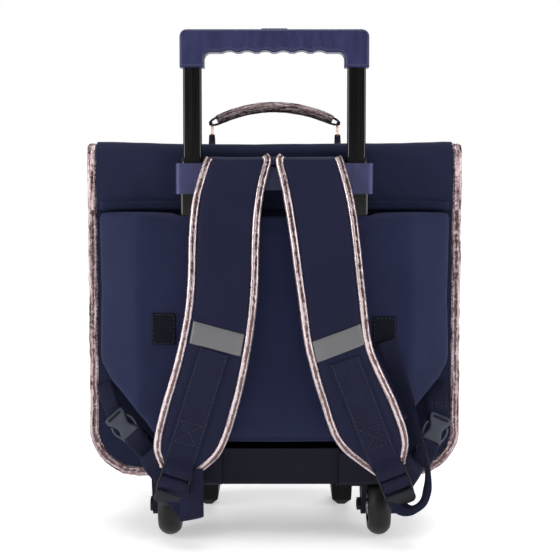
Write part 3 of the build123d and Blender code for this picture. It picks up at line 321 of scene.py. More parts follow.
def weighted(tree, *parts):
    """Values added together, each times its weight."""
    total = None
    for value, weight in parts:
        part = math_of(tree, "MULTIPLY", value, weight)
        total = math_of(tree, "ADD", total, part) if total else part
    return total


def waves(tree, operation, along, pitch):
    """The sine or cosine of a distance, with one wave to each pitch."""
    return math_of(tree, operation, math_of(tree, "MULTIPLY", along, 2 * math.pi / pitch))


def woven(tree, pitch):
    """A plain weave at the given thread pitch, seen on whichever way the surface faces."""
    coordinates = node(tree, "ShaderNodeTexCoord", {}).outputs
    inputs = {0: coordinates["Object"], 3: math.pi / pitch}
    scaled = node(tree, "ShaderNodeVectorMath", inputs, operation="SCALE").outputs[0]
    threads = split(tree, node(tree, "ShaderNodeVectorMath", {0: scaled}, operation="SINE").outputs[0])
    facing = node(tree, "ShaderNodeVectorMath", {0: coordinates["Normal"]}, operation="ABSOLUTE").outputs[0]
    crossings = [math_of(tree, "MULTIPLY", threads[a], threads[b]) for a, b in ((1, 2), (0, 2), (0, 1))]
    return weighted(tree, *zip(crossings, split(tree, facing)))


# ------------------------------------------------------------------ materials
SHEEN = {"Sheen_Roughness": 0.4, "Sheen_Tint": (0.6, 0.68, 1, 1)}


def fabric(name, colour, lighter, sheen, pitch=0.0007, crease=0.35):
    """Woven polyester: threads, a fine melange, soft creases and a little sheen."""
    material, tree = new_material(name, colour, 0.8, Specular_IOR_Level=0.22, Sheen_Weight=sheen, **SHEEN)
    place = place_of(tree)
    weave = woven(tree, pitch)
    cloudy = noise_of(tree, place, 14, 3)
    fleck = noise_of(tree, place, 900, 2)
    tone = weighted(tree, (cloudy, 0.6), (fleck, 0.4))
    colours = mixed(tree, ranged(tree, tone, 0.35, 0.65), colour, lighter)
    threads = mixed(tree, ranged(tree, weave, -0.6, 0.6), times(colour, 0.72), colours)
    layers = [(cloudy, 0.004, crease), (noise_of(tree, place, 110, 3), 0.0012, 0.3), (weave, 0.0001, 0.5)]
    return coated(material, threads, layers, ranged(tree, fleck, 0.3, 0.7, 0.74, 0.9))


def ribbed(name, colour):
    """Woven webbing: ribs along it and picks across it."""
    material, tree = new_material(name, colour, 0.75, Specular_IOR_Level=0.2, Sheen_Weight=0.06, **SHEEN)
    across, along, _ = split(tree, place_of(tree, flat=True))
    ribs, picks = waves(tree, "SINE", across, 0.0016), waves(tree, "SINE", along, 0.0011)
    weave = weighted(tree, (ribs, 1), (picks, 0.6))
    soft = noise_of(tree, place_of(tree), 60, 3)
    light = times(colour, 1.5)
    colours = mixed(tree, ranged(tree, weave, -1.2, 1.4), times(colour, 0.55), light)
    colours = mixed(tree, ranged(tree, soft, 0.3, 0.7, 0.0, 0.35), colours, light)
    return coated(material, colours, [(soft, 0.002, 0.3), (weave, 0.00025, 0.6)])


def foil(name, creases=(430, 34, 1), girth=None, lit=1.0, wild=0.45, deep=True):
    """Rose-gold coated tape: metallic, with fine creases. Its colours are painted reflections and painted shade:
    streaks, and deep creases painted almost black. lit dims all of them, as painted shade on each copy.
    On tape that is sewn through its middle, with the given girth, the seam is a groove with a painted dark
    reflection down each face."""
    material, tree = new_material(name, (0.8, 0.6, 0.56), 0.3, Metallic=0.8, Specular_IOR_Level=0.6)
    folds = noise_of(tree, place_of(tree, creases, flat=True), 1, 3)
    crumple = noise_of(tree, place_of(tree), 230, 3)
    grain = (noise_of(tree, place_of(tree), 1500, 2), 0.0001, 0.3)
    depth = weighted(tree, (folds, 0.72), (crumple, 0.28))
    if deep:
        # Deep creases are painted almost black as shade, and their ridges lighter as painted reflections.
        dull = times((0.235, 0.155, 0.165), lit)
        shade = mixed(tree, ranged(tree, depth, 0.385, 0.440), (0.045, 0.024, 0.026), dull)
        shade = mixed(tree, ranged(tree, depth, 0.440, 0.60), shade, times((0.58, 0.465, 0.480), lit))
    else:
        # Lengthwise streaks of painted reflection, dull and bright.
        dull, bright = times((0.42, 0.30, 0.31), lit), times((0.80, 0.66, 0.67), lit)
        shade = mixed(tree, ranged(tree, depth, 0.36, 0.46), dull, bright)
    layers = [(folds, 0.0022, 0.8), (crumple, 0.0018, 0.7), grain]
    if girth:
        wander = noise_of(tree, place_of(tree, (40, 40, 1), flat=True), 1, 2)
        middle = waves(tree, "COSINE", split(tree, place_of(tree, flat=True))[0], girth / 2)
        strays = [(math_of(tree, "SUBTRACT", stray, 0.5), wild) for stray in (wander, crumple)]
        # A dark reflection is painted down the seam's groove.
        closed = ranged(tree, weighted(tree, (middle, 1), *strays), -0.96, -0.80)
        shade = mixed(tree, closed, (0.115, 0.070, 0.074), shade)
        layers = [(closed, 0.0012, 0.7), (folds, 0.0010, 0.5), (crumple, 0.0007, 0.4), grain]
    return coated(material, shade, layers, ranged(tree, crumple, 0.3, 0.7, 0.22, 0.40))


def plastic(name, colour, roughness=0.42, shine=0.35):
    """Moulded plastic with a fine spark-eroded grain and faint handling marks."""
    material, tree = new_material(name, colour, roughness, Specular_IOR_Level=shine)
    marks = noise_of(tree, place_of(tree, (60, 60, 12)), 3, 4)
    lighter = tuple(1.35 * c + 0.002 for c in colour)
    colours = mixed(tree, ranged(tree, marks, 0.4, 0.75), colour, lighter)
    dulling = ranged(tree, marks, 0.3, 0.7, roughness - 0.06, roughness + 0.08)
    return coated(material, colours, [(noise_of(tree, place_of(tree), 2500, 2), 0.0001, 0.25)], dulling)


def metal(name, colour, roughness, brushed=(40, 40, 2500)):
    """Drawn or brushed metal."""
    material, tree = new_material(name, colour, roughness, Metallic=1.0)
    lines = noise_of(tree, place_of(tree, brushed), 1, 3)
    colours = mixed(tree, ranged(tree, lines, 0.3, 0.7), times(colour, 0.7), colour)
    dulling = ranged(tree, lines, 0.3, 0.7, roughness - 0.08, roughness + 0.12)
    return coated(material, colours, [(lines, 0.0001, 0.25)], dulling)


def tube_paint():
    """Glossy black paint over drawn tube, with the faint wear that sliding leaves."""
    coat = {"Specular_IOR_Level": 0.30, "Coat_Weight": 0.15, "Coat_Roughness": 0.08}
    material, tree = new_material("black_tube", (0.004, 0.004, 0.0045), 0.16, **coat)
    drawn = noise_of(tree, place_of(tree, (900, 900, 6)), 1, 3)
    worn = mixed(tree, ranged(tree, drawn, 0.55, 0.75), (0.0020, 0.0020, 0.0022), (0.0055, 0.0055, 0.0060))
    return coated(material, worn, [(drawn, 0.00005, 0.2)], ranged(tree, drawn, 0.35, 0.7, 0.12, 0.3))


def rubber():
    """Cast tyre rubber, a little dusty."""
    material, tree = new_material("tyre", (0.008, 0.008, 0.009), 0.5, Specular_IOR_Level=0.25)
    place = place_of(tree)
    dust = noise_of(tree, place, 90, 4)
    dusty = mixed(tree, ranged(tree, dust, 0.45, 0.75), (0.0040, 0.0040, 0.0045), (0.0100, 0.0098, 0.0095))
    layers = [(dust, 0.0006, 0.2), (noise_of(tree, place, 1800, 2), 0.0001, 0.4)]
    return coated(material, dusty, layers, ranged(tree, dust, 0.3, 0.7, 0.38, 0.6))


def reflective_tape():
    """Grey reflective tape: glass-bead cloth with a fine diamond lattice."""
    material, tree = new_material("reflective", (0.30, 0.31, 0.31), 0.38, Metallic=0.25)
    across, along, _ = split(tree, place_of(tree, flat=True))
    ways = [math_of(tree, operation, across, along) for operation in ("ADD", "SUBTRACT")]
    lattice = math_of(tree, "MAXIMUM", *[waves(tree, "SINE", way, 0.0022) for way in ways])
    beads = noise_of(tree, place_of(tree), 2200, 2)
    tone = mixed(tree, ranged(tree, lattice, 0.75, 1.0), (0.120, 0.120, 0.125), (0.085, 0.085, 0.090))
    tone = mixed(tree, ranged(tree, beads, 0.4, 0.7, 0, 0.3), tone, (0.22, 0.22, 0.225))
    soft = noise_of(tree, place_of(tree), 70)
    return coated(material, tone, [(lattice, 0.0001, 0.4), (beads, 0.00005, 0.3), (soft, 0.001, 0.25)])


def hook_tape():
    """Hook tape: a dense field of small stiff hooks."""
    material, tree = new_material("hook_patch", (0.005, 0.007, 0.014), 0.7, Specular_IOR_Level=0.12)
    cells = node(tree, "ShaderNodeTexVoronoi", {"Vector": place_of(tree), "Scale": 900}).outputs[0]
    colours = mixed(tree, ranged(tree, cells, 0.1, 0.6), (0.0060, 0.0085, 0.0180), (0.0020, 0.0028, 0.0070))
    return coated(material, colours, [(cells, -0.0006, 0.8)])


def thread():
    """Twisted polyester thread."""
    material, tree = new_material("thread", (0.012, 0.014, 0.04), 0.5, Sheen_Weight=0.1)
    twist = noise_of(tree, place_of(tree), 3000, 2)
    colours = mixed(tree, ranged(tree, twist, 0.35, 0.65), (0.0035, 0.0044, 0.0165), (0.0075, 0.0092, 0.0310))
    return coated(material, colours, [(twist, 0.0001, 0.5)])


NAVY = fabric("navy_fabric", (0.0066, 0.0094, 0.0350), (0.0112, 0.0152, 0.0500), 0.06)
STRAP_CLOTH = fabric("strap_fabric", (0.0056, 0.0068, 0.0290), (0.0090, 0.0106, 0.0410), 0.05, 0.0006, 0.2)
# The back panel's cloth is the navy fabric made lighter: painted light on the panel.
LIT_PANEL_CLOTH = fabric("lit_panel_fabric", (0.0090, 0.0124, 0.0470), (0.0142, 0.0186, 0.0640), 0.06, crease=0.2)
LINING = fabric("lining", (0.05, 0.055, 0.075), (0.075, 0.08, 0.10), 0.2, 0.0005)
WEBBING = ribbed("navy_webbing", (0.0052, 0.0062, 0.0250))
FOIL = foil("rose_binding")
# The foil's copies are dimmed by lit as painted shade: the seam tape, the strap tape and most of all the
# handle's wrap.
FOIL_SEAM = foil("seam_tape", girth=0.0290, lit=0.88, wild=0.9)
FOIL_STRAP = foil("strap_tape", girth=0.0345, lit=0.74, deep=False)
FOIL_ROLLED = foil("rose_wrap", (420, 55, 1), lit=0.5)
THREAD = thread()
REFLECTIVE = reflective_tape()
HOOKS = hook_tape()
NAVY_PLASTIC = plastic("navy_plastic", (0.030, 0.032, 0.094))
GRIP_PLASTIC = plastic("grip_plastic", (0.0165, 0.0175, 0.064), 0.4, 0.3)
# The trolley base is the navy plastic made far darker: painted shade, where the straps shade it.
SHADED_BASE_PLASTIC = plastic("shaded_base_plastic", (0.0050, 0.0052, 0.0130), 0.55, 0.12)
GREY_PLASTIC = plastic("grey_plastic", (0.032, 0.038, 0.060), 0.4)
# The ladder locks' plastic is the buckles' grey plastic made far darker: painted shade, where they hang low
# under the straps.
SHADED_LOCK_PLASTIC = plastic("shaded_lock_plastic", (0.0060, 0.0068, 0.0120), 0.45, 0.25)
CLASP_PLASTIC = plastic("clasp_plastic", (0.024, 0.026, 0.075), 0.34)
BLACK_PLASTIC = plastic("black_plastic", (0.0040, 0.0040, 0.0052), 0.5, 0.15)
TYRE = rubber()
TUBE = tube_paint()
STEEL = metal("steel", (0.58, 0.58, 0.60), 0.32)
DARK_STEEL = metal("dark_steel", (0.030, 0.030, 0.033), 0.38)
ROSE_METAL = metal("rose_metal", (0.90, 0.66, 0.58), 0.24, (300, 300, 300))


# ------------------------------------------------------------------ the camera, the floor and the light
LAMPS = [
    ("left", (-2.3, -0.75, 0.9), 1.5, 37),
    ("right", (2.3, -0.75, 0.9), 1.5, 27),
    ("front", (-0.4, -2.6, 1.5), 1.0, 3),
    ("top", (0.0, -0.3, 2.5), 2.2, 42),
    ("rear", (0.5, 2.2, 1.5), 1.6, 26),
]


def set_camera(scene):
    """A camera at standing height behind the straps."""
    camera = bpy.data.objects.new("camera", bpy.data.cameras.new("camera"))
    scene.collection.objects.link(camera)
    camera.location = (0.006, BACK - 1.2, 0.398)
    camera.rotation_euler = (math.radians(90 - 2.7), 0, 0)
    camera.data.lens = 70.1
    camera.data.sensor_width = 36
    camera.data.shift_y = -0.0984
    scene.camera = camera


def lay_floor():
    """A pale floor that grows lighter away from the bag."""
    extent = 12.0
    corners = [[(x, y, -0.0005) for x in (-extent, extent)] for y in (-extent, extent)]
    paint, tree = new_material("floor_paint", (0.86, 0.86, 0.87), 0.6, Emission_Color=(1, 1, 1, 1))
    mottle = noise_of(tree, place_of(tree), 2.0)
    coated(paint, mixed(tree, mottle, (0.90, 0.90, 0.905), (0.93, 0.93, 0.93)), [])
    away = node(tree, "ShaderNodeVectorMath", {0: place_of(tree)}, operation="LENGTH").outputs["Value"]
    glow = tree.nodes["Principled BSDF"].inputs["Emission Strength"]
    tree.links.new(ranged(tree, away, 0.15, 1.3, 0.42, 1.0), glow)
    floor = skin("floor", np.array(corners), paint)


def light_studio(scene):
    """A white surround that lights the bag only a little, and five soft lamps."""
    world = bpy.data.worlds.new("studio")
    scene.world = world
    world.use_nodes = True
    scene.view_settings.view_transform = "Standard"
    background = world.node_tree.nodes["Background"]
    background.inputs[0].default_value = (1, 1, 1, 1)
    seen = node(world.node_tree, "ShaderNodeLightPath", {}).outputs["Is Camera Ray"]
    world.node_tree.links.new(ranged(world.node_tree, seen, 0, 1, 0.14, 1.0), background.inputs[1])
    for name, place, size, power in LAMPS:
        lamp = bpy.data.objects.new(name, bpy.data.lights.new(name, "AREA"))
        lamp.data.size = size
        lamp.data.energy = power
        lamp.location = place
        aim = Vector((0, 0, 0.25)) - Vector(place)
        lamp.rotation_euler = aim.to_track_quat("-Z", "Y").to_euler()
        scene.collection.objects.link(lamp)


# ------------------------------------------------------------------ sewing details
def stitches(name, path, outward):
    """A row of stitches along a path: each one a small spindle that lies proud of the cloth."""
    length, gap, thick, sides = 0.0030, 0.0016, 0.00055, 6
    places = spaced(path, length + gap)
    outward = np.broadcast_to(np.array(outward, float), np.shape(path))
    lifts = unit(read_off(outward, shares(len(path)), shares(len(places))))
    turn = around(sides)[:, None]
    swell = ((0.0, 0.25), (0.12, 0.8), (0.5, 1.0), (0.88, 0.8), (1.0, 0.25))
    rings = []
    for start, end, up in zip(places[:-1], places[1:], lifts):
        forward = unit(end - start)
        side = unit(np.cross(up, forward))
        for t, grow in swell:
            middle = start + forward * length * t + up * thick * (0.9 * grow - 0.35)
            rings.append(middle + (np.cos(turn) * side + np.sin(turn) * up * 0.8) * thick * grow * 0.6)
    spindle = [[i * sides + j % sides for i, j in face] for face in grid_faces(len(swell), sides, True, True)]
    bases = range(0, len(rings) * sides, len(swell) * sides)
    faces = [[base + k for k in face] for base in bases for face in spindle]
    return shaped(name, np.concatenate(rings), faces, np.zeros(2 * sum(map(len, faces))), THREAD, sharp=80)


def webbing(name, points, side, width, thick=0.0016):
    """A length of webbing through the given points. side points across it, the same or one for each point."""
    cup = 0.0004
    path = curve(points, 0.0025)
    sides = np.array(side, float)
    if sides.ndim == 2:
        run = run_of(points)
        sides = unit(read_off(sides, run, np.linspace(0, run[-1], len(path))))
    across = np.linspace(-1, 1, 13)
    edge = np.sqrt(np.clip(1 - np.abs(across) ** 10, 0, 1)) * thick / 2
    bow = cup * (1 - across**2)
    top = np.stack([across * width / 2, edge + bow], axis=1)
    under = np.stack([across * width / 2, -edge + bow], axis=1)[-2:0:-1]
    return sweep(name, path, sides, np.concatenate([top, under]), WEBBING)


def tape(name, path, outward, width, thick, material, seed, wander=0.0006, crumple=0.10, step=0.0014):
    """Folded tape over a seam, as a crumpled flat tube. outward points away from the cloth."""
    fine = spaced(path, step)
    run, at = shares(len(path)), shares(len(fine))
    outward = unit(read_off(np.broadcast_to(np.array(outward, float), np.shape(path)), run, at))
    crumple = np.interp(at, run, np.broadcast_to(crumple, len(path)))
    along = np.arange(len(fine)) * step
    beat = columns(along, seed, 0)
    swell = 1 + crumple * (0.6 * ripple(beat, 0.004, seed) + 0.5 * ripple(beat, 0.011, seed + 3))
    stray = wander * ripple(beat, 0.03, seed + 5) + wander * 0.7 * ripple(beat, 0.009, seed + 7)
    sections = []
    for across, up in superellipse(width, thick, 2.8, 22):
        dent = 1 + crumple * 1.3 * ripple(columns(along, across * 2.2, up * 2.2), 0.0032, seed + 11)
        sections.append(np.stack([across * (1 + 0.5 * (swell - 1)), up * swell * dent], axis=1))
    fine = fine + outward * stray[:, None]
    return sweep(name, fine, outward, np.stack(sections, axis=1), material, sharp=70)


def plate(name, outline, thick, place, right, out, material, bevel, dome):
    """A moulded plate: a closed outline in its own plane, given thickness and rounded edges.
    right and out are the plane's directions; dome bows its face outwards."""
    outline = np.array(outline, float)
    right, out = unit(np.array(right, float)), unit(np.array(out, float))
    up = np.cross(out, right)
    middle = outline.mean(axis=0)
    reach = np.abs(outline - middle).max()
    edge = [(0.0, 1 - bevel / reach), (bevel * 0.3, 1 - 0.3 * bevel / reach), (bevel, 1.0)]
    levels = edge + [(thick - depth, scale) for depth, scale in edge[::-1]]
    levels += [(thick + dome * (1 - scale**2), scale) for scale in (0.75, 0.45, 0.15)]
    rings = []
    for depth, scale in levels:
        flat = middle + (outline - middle) * scale
        rings.append(np.array(place) + flat[:, :1] * right + flat[:, 1:] * up + depth * out)
    return skin(name, np.array(rings), material, wrap=True, caps=True, sharp=40)


def rounded(width, height, radius, count=6):
    """A rounded rectangle, as a closed list of (x, y)."""
    points = []
    for corner, (sx, sy) in enumerate(((1, 1), (-1, 1), (-1, -1), (1, -1))):
        for step in range(count + 1):
            turn = math.radians(90 * corner + 90 * step / count)
            x = sx * (width / 2 - radius) + radius * math.cos(turn)
            points.append((x, sy * (height / 2 - radius) + radius * math.sin(turn)))
    return points


# ------------------------------------------------------------------ the bag's shell and its pocket
def u_outline(half, bottom, top, corner, y, count=14):
    """Down one side, round the lower corners and up the other, with the direction outwards at each point."""
    points = [(-half, z, -1.0, 0.0) for z in np.linspace(top, bottom + corner, 60)[:-1]]
    for turn in np.linspace(math.pi, 1.5 * math.pi, count):
        c, s = math.cos(turn), math.sin(turn)
        points.append((-half + corner + corner * c, bottom + corner + corner * s, c, s))
    points += [(x, bottom, 0.0, -1.0) for x in np.linspace(-half + corner, 0, 30)[1:]]
    points += [(-x, z, -out_x, out_z) for x, z, out_x, out_z in points[-2::-1]]
    x, z, out_x, out_z = np.transpose(points)
    return columns(x, y, z), columns(out_x, 0, out_z)


def open_box(name, half, back, front, bottom, top, corner, thick, sag, seed, dents):
    """A sewn box, open at the top, lofted from its floor up, whose sides sag inwards between the seams."""
    depth = front - back
    profile = [((half - corner) * f, bottom, f) for f in np.linspace(0.02, 0.98, 12)]
    for turn in np.linspace(0, math.pi / 2, 12):
        width = half - corner + corner * math.sin(turn)
        profile.append((width, bottom + corner - corner * math.cos(turn), 1.0))
    profile += [(half, z, 1.0) for z in np.linspace(bottom + corner, top, 64)[1:]]
    wide, deep = np.linspace(-1, 1, 72)[:-1], shares(28)[:-1]
    rings = []
    for width, z, spread in profile:
        near, far = back + depth * (1 - spread) / 2, front - depth * (1 - spread) / 2
        rear = [(u * width, near, z) for u in wide]
        right = [(width, near + (far - near) * w, z) for w in deep]
        fore = [(-u * width, far, z) for u in wide]
        left = [(-width, far - (far - near) * w, z) for w in deep]
        rings.append(rear + right + fore + left)
    grid = np.array(rings)
    share = np.clip((grid[..., 1] - back) / depth, 0, 1)
    height = np.clip((grid[..., 2] - bottom) / (top - bottom), 0, 1)
    on_side = np.clip((np.abs(grid[..., 0]) - half + 0.012) / 0.012, 0, 1) * np.sin(math.pi * share)
    folds = ripple(grid * (1, 1, 0.55), 0.07, seed)
    belly = np.sin(math.pi * height)
    grid[..., 0] -= np.sign(grid[..., 0]) * on_side * sag * (0.55 + 0.45 * folds + 0.4 * belly)
    grid[..., 1] += (share > 0.999) * dents * (folds - 0.4) * belly
    shell = skin(name, grid, NAVY, wrap=True, sharp=75)
    thicken(shell, thick)
    return shell


def make_body():
    shell = open_box("bag_shell", HALF, BACK, FRONT, BOTTOM, RIM, CORNER, 0.0024, 0.0055, 2.0, 0.0012)
    placed(shell, "bag", "navy_fabric", "bag_body")


def make_pocket():
    """The front pocket, with a taped edge and a stitched rim."""
    low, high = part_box("front_pocket")
    face = high.y - 0.001
    back = FRONT + 0.0003
    pocket = open_box(
        "front_pocket_cloth", high.x, back, high.y, low.z, high.z, 0.025, 0.002, 0.003, 6.0, 0.0016
    )
    placed(pocket, "bag", "navy_fabric", "front_pocket")
    path, out = u_outline(high.x + 0.001, low.z - 0.001, high.z, 0.026, face)
    placed(tape("pocket_tape", path, out, 0.0055, 0.0035, FOIL, 31.0, step=0.002), "bag", "rose_binding")
    rim = columns(np.linspace(-1, 1, 40) * high.x, face, high.z)
    rim_tape = tape("pocket_rim_tape", rim, Z, 0.012, 0.0042, NAVY, 33.0, step=0.003, crumple=0.04)
    placed(rim_tape, "bag", "navy_fabric")
    placed(stitches("pocket_rim_stitches", rim + (0, 0.0022, -0.004), Y), "bag", "navy_fabric")


def make_seam_tape(name, y, top, node_name, seed):
    """The rose-gold tape round one seam of the body. The rear one stops at the trolley's base."""
    grow = BINDING / 2
    path, out = u_outline(HALF + grow, BOTTOM - grow, top, CORNER + grow, y, 22)
    gathered = 0.10 + 0.50 * np.abs(out[:, 0] * out[:, 2])
    parts = [slice(None)]
    if node_name == "back_binding":
        base_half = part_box("trolley_base")[1].x + 0.001
        covered = np.flatnonzero((path[:, 2] < BOTTOM) & (np.abs(path[:, 0]) < base_half))
        parts = [slice(0, covered[0] + 1), slice(covered[-1], None)]
    pieces = []
    for k, part in enumerate(parts):
        line, facing, crumple = path[part], out[part], gathered[part]
        label, wide, thick = f"{name}_{k}", BINDING + 0.0012, 0.0052
        pieces.append(tape(label, line, facing, wide, thick, FOIL_SEAM, seed + k, 0.0009, crumple))
    placed(joined(name, pieces), "bag", "rose_binding", node_name)
    facing = Y * math.copysign(1, y)
    row = stitches(f"{name}_stitches", path[::2] - out[::2] * 0.0035 + facing * 0.0028, facing)
    placed(row, "bag", "rose_binding")


# ------------------------------------------------------------------ the flap, with the yoke behind it
FOLD_REAR, FOLD_FRONT = 0.011, 0.021
FLAP_CORNER = 0.048
REAR_FACE = BACK - 0.0028
YOKE_SEAMS = ((0.410, 0.0011, 0.0018), (0.3675, 0.0026, 0.0013), (0.3635, 0.0012, 0.0012))


def flap_profile():
    """The outer face from the yoke's edge over the top to the flap's end: (y, z, outward y, outward z)."""
    points = [(REAR_FACE, z, -1.0, 0.0) for z in np.linspace(YOKE_BOTTOM, FLAP_TOP - FOLD_REAR, 24)[:-1]]
    for turn in np.linspace(math.pi, math.pi / 2, 9)[:-1]:
        c, s = math.cos(turn), math.sin(turn)
        points.append((REAR_FACE + FOLD_REAR * (1 + c), FLAP_TOP - FOLD_REAR * (1 - s), c, s))
    top = np.linspace(REAR_FACE + FOLD_REAR, FLAP_OUT - FOLD_FRONT, 52)[:-1]
    points += [(y, FLAP_TOP, 0.0, 1.0) for y in top]
    for turn in np.linspace(math.pi / 2, 0, 13)[:-1]:
        c, s = math.cos(turn), math.sin(turn)
        points.append((FLAP_OUT - FOLD_FRONT * (1 - c), FLAP_TOP - FOLD_FRONT * (1 - s), c, s))
    points += [(FLAP_OUT, z, 1.0, 0.0) for z in np.linspace(FLAP_TOP - FOLD_FRONT, FLAP_END, 76)]
    return np.array(points)


def flap_half(z, on_front):
    """Half the flap's width at a height: it narrows round its lower corners."""
    drop = max(0.0, FLAP_END + FLAP_CORNER - z) if on_front else 0.0
    return HALF - FLAP_CORNER + math.sqrt(max(0.0, FLAP_CORNER**2 - drop**2))


def flap_relief(points, outward):
    """How far the cloth stands off its pattern: it dips between the corners and ripples softly."""
    x, y, z = points[..., 0], points[..., 1], points[..., 2]
    on_top = np.clip(outward[..., 2], 0, 1)
    across = np.clip((np.abs(x) - 0.10) / (HALF - 0.10), 0, 1)
    along = np.clip((y - REAR_FACE) / (FLAP_OUT - REAR_FACE), 0, 1)
    dip = -0.0045 * (1 - across**2 * (3 - 2 * across)) * np.sin(math.pi * np.clip(along * 1.15 + 0.12, 0, 1))
    on_front = np.clip(outward[..., 1], 0, 1)
    belly = 0.0022 * on_front * np.sin(math.pi * np.clip((FLAP_TOP - z) / (FLAP_TOP - FLAP_END), 0, 1))
    soft = 0.0016 * ripple(points, 0.085, 4.0) + 0.0005 * ripple(points, 0.022, 9.0)
    edge = np.clip((HALF - np.abs(x)) / 0.012, 0, 1)
    return on_top * dip + belly + soft * (0.25 + 0.75 * edge)


def flap_edge(profile):
    """The flap's bound edge: a path, with the directions out from the cloth's edge and out of its face."""
    steps = []
    for y, z, out_y, out_z in profile:
        if y < FLAP_OUT - 1e-6 or z >= FLAP_END + FLAP_CORNER:
            steps.append(((-HALF - BINDING / 2, y, z), (-1.0, 0.0, 0.0), (0.0, out_y, out_z)))
    reach = FLAP_CORNER + BINDING / 2
    for turn in np.linspace(math.pi, 1.5 * math.pi, 20):
        c, s = math.cos(turn), math.sin(turn)
        place = (-HALF + FLAP_CORNER + reach * c, FLAP_OUT, FLAP_END + FLAP_CORNER + reach * s)
        steps.append((place, (c, 0.0, s), Y))
    for x in np.linspace(-HALF + FLAP_CORNER, 0, 24)[1:]:
        steps.append(((x, FLAP_OUT, FLAP_END - BINDING / 2), -Z, Y))
    steps = np.array(steps)
    return np.vstack([steps, steps[-2::-1] * (-1.0, 1.0, 1.0)]).transpose(1, 0, 2)


def flap_grid(profile):
    """The flap's cloth, row by row from the yoke's edge to the flap's end, with its outward directions."""
    wide = powered(np.sin(np.linspace(-math.pi / 2, math.pi / 2, 91)), 0.82)
    grid, outward = [], []
    for y, z, out_y, out_z in profile:
        half = flap_half(z, y > FLAP_OUT - 1e-6)
        grid.append([(u * half, y, z) for u in wide])
        outward.append([(0.0, out_y, out_z)] * len(wide))
    grid, outward = np.array(grid), np.array(outward)
    return grid + outward * flap_relief(grid, outward)[..., None], outward


def make_flap():
    """The flap and the yoke in one cloth: seamed, flat behind the grip, and soft at its fold."""
    profile = flap_profile()
    grid, outward = flap_grid(profile)
    run = lengths(grid, 0)
    for seam, depth, spread in YOKE_SEAMS:
        at = np.interp(seam, [YOKE_BOTTOM, FLAP_TOP - FOLD_REAR], [0, FLAP_TOP - FOLD_REAR - YOKE_BOTTOM])
        grid = grid - outward * (depth * bell(run, at, spread))[:, None, None]
    near_grip = np.abs(grid[..., 0]) < 0.125
    grid[..., 1] = np.where(near_grip, np.maximum(grid[..., 1], BACK - 0.0024), grid[..., 1])
    cloth = skin("flap_cloth", grid[::-1], NAVY, sharp=80)
    thicken(cloth, 0.0030)
    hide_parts("flap", "flap_yoke")
    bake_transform(cloth)
    yoke_rows = make_yoke_rows()
    path, out, lean = flap_edge(profile)
    path = path + lean * (flap_relief(path, lean)[:, None] - 0.0015)
    binding = tape("flap_tape", path, out, BINDING + 0.0008, 0.0056, FOIL, 51.0, wander=0.0005, crumple=0.05)
    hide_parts("flap_binding")
    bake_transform(binding)
    sides = stitches("flap_tape_stitches", path - out * 0.0036 + lean * 0.0030, lean)
    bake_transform(sides)


def make_yoke_rows():
    """The yoke's facing band, and the two rows of stitches over it."""
    reach = HALF - 0.004
    across = np.linspace(-reach, reach, 120)
    levels = np.linspace(YOKE_BOTTOM + 0.001, 0.3680, 9)
    facing = np.array([[(x, REAR_FACE - 0.0032, z) for x in across] for z in levels])
    facing[..., 1] -= 0.0006 + 0.0006 * ripple(facing, 0.05, 33.0)
    facing[-1, :, 1] += 0.0009
    band = skin("yoke_facing", facing, NAVY, sharp=80)
    thicken(band, 0.0014)
    placed(band, "bag", "navy_fabric")
    seams = []
    for name, z in (("upper", 0.3665), ("lower", 0.3620)):
        line = columns(np.linspace(-reach, reach, 60), REAR_FACE - 0.0002, z)
        line = line - Y * flap_relief(line, np.broadcast_to(-Y, line.shape))[:, None]
        seams.append(stitches(f"yoke_stitches_{name}", line, -Y))
    yoke_rows = joined("yoke_stitches", seams)
    placed(yoke_rows, "bag", "navy_fabric")
    return yoke_rows


# ------------------------------------------------------------------ the padded back panel
TUBE_X = 0.0885


def points_of(piece):
    return np.array([v.co for v in piece.data.vertices])


def move_to(piece, points):
    piece.data.vertices.foreach_set("co", points.ravel())
    piece.data.update()


def reshape_edge(cut):
    """Moves the panel's lower edge, which rises towards its sides, from its cut height to its sewn one."""
    edge_x = [0.0, 0.126, 0.140, 0.157, 0.173, 0.181, 0.190, 0.195]
    was = np.interp(np.abs(cut[:, 0]), edge_x, [0.103, 0.103, 0.1198, 0.1406, 0.160, 0.174, 0.189, 0.197])
    wanted = np.interp(np.abs(cut[:, 0]), edge_x, [0.103, 0.105, 0.1265, 0.1480, 0.1655, 0.174, 0.189, 0.197])
    cut[:, 2] += (wanted - was) * np.clip(1 - (cut[:, 2] - was) / 0.045, 0, 1)


def hold_back(points, cut):
    """Keeps the swollen cover near its foam: hardly off it by the tubes, and close to the panel's own box."""
    low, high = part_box("back_panel")
    moved = points - cut
    by_tubes = (np.abs(np.abs(cut[:, 0]) - TUBE_X) < 0.019) & (cut[:, 1] > BACK - 0.0290)
    limit = np.where(by_tubes, 0.0002, 0.0035)
    size = np.linalg.norm(moved, axis=1)
    points = cut + moved * np.minimum(1, limit / np.maximum(size, 1e-9))[:, None]
    points[:, 1] = np.minimum(points[:, 1], BACK - 0.0004)
    points[:, 0] = np.clip(points[:, 0], low.x - 0.003, high.x + 0.003)
    points[:, 2] = np.clip(points[:, 2], low.z - 0.001, YOKE_BOTTOM - 0.0008)
    return points


def clear_channels(points):
    """Moves whatever lies in the tubes' channels out of them, by the shorter way."""
    channel = 0.0141 - np.abs(np.abs(points[:, 0]) - TUBE_X)
    deep = points[:, 1] - (BACK - 0.0270)
    inside = (channel > 0) & (deep > 0)
    sideways = inside & (channel < deep)
    away = np.sign(points[:, 0]) * np.sign(np.abs(points[:, 0]) - TUBE_X)
    points[:, 0] += np.where(sideways, away * channel, 0)
    points[:, 1] -= np.where(inside & ~sideways, deep, 0)


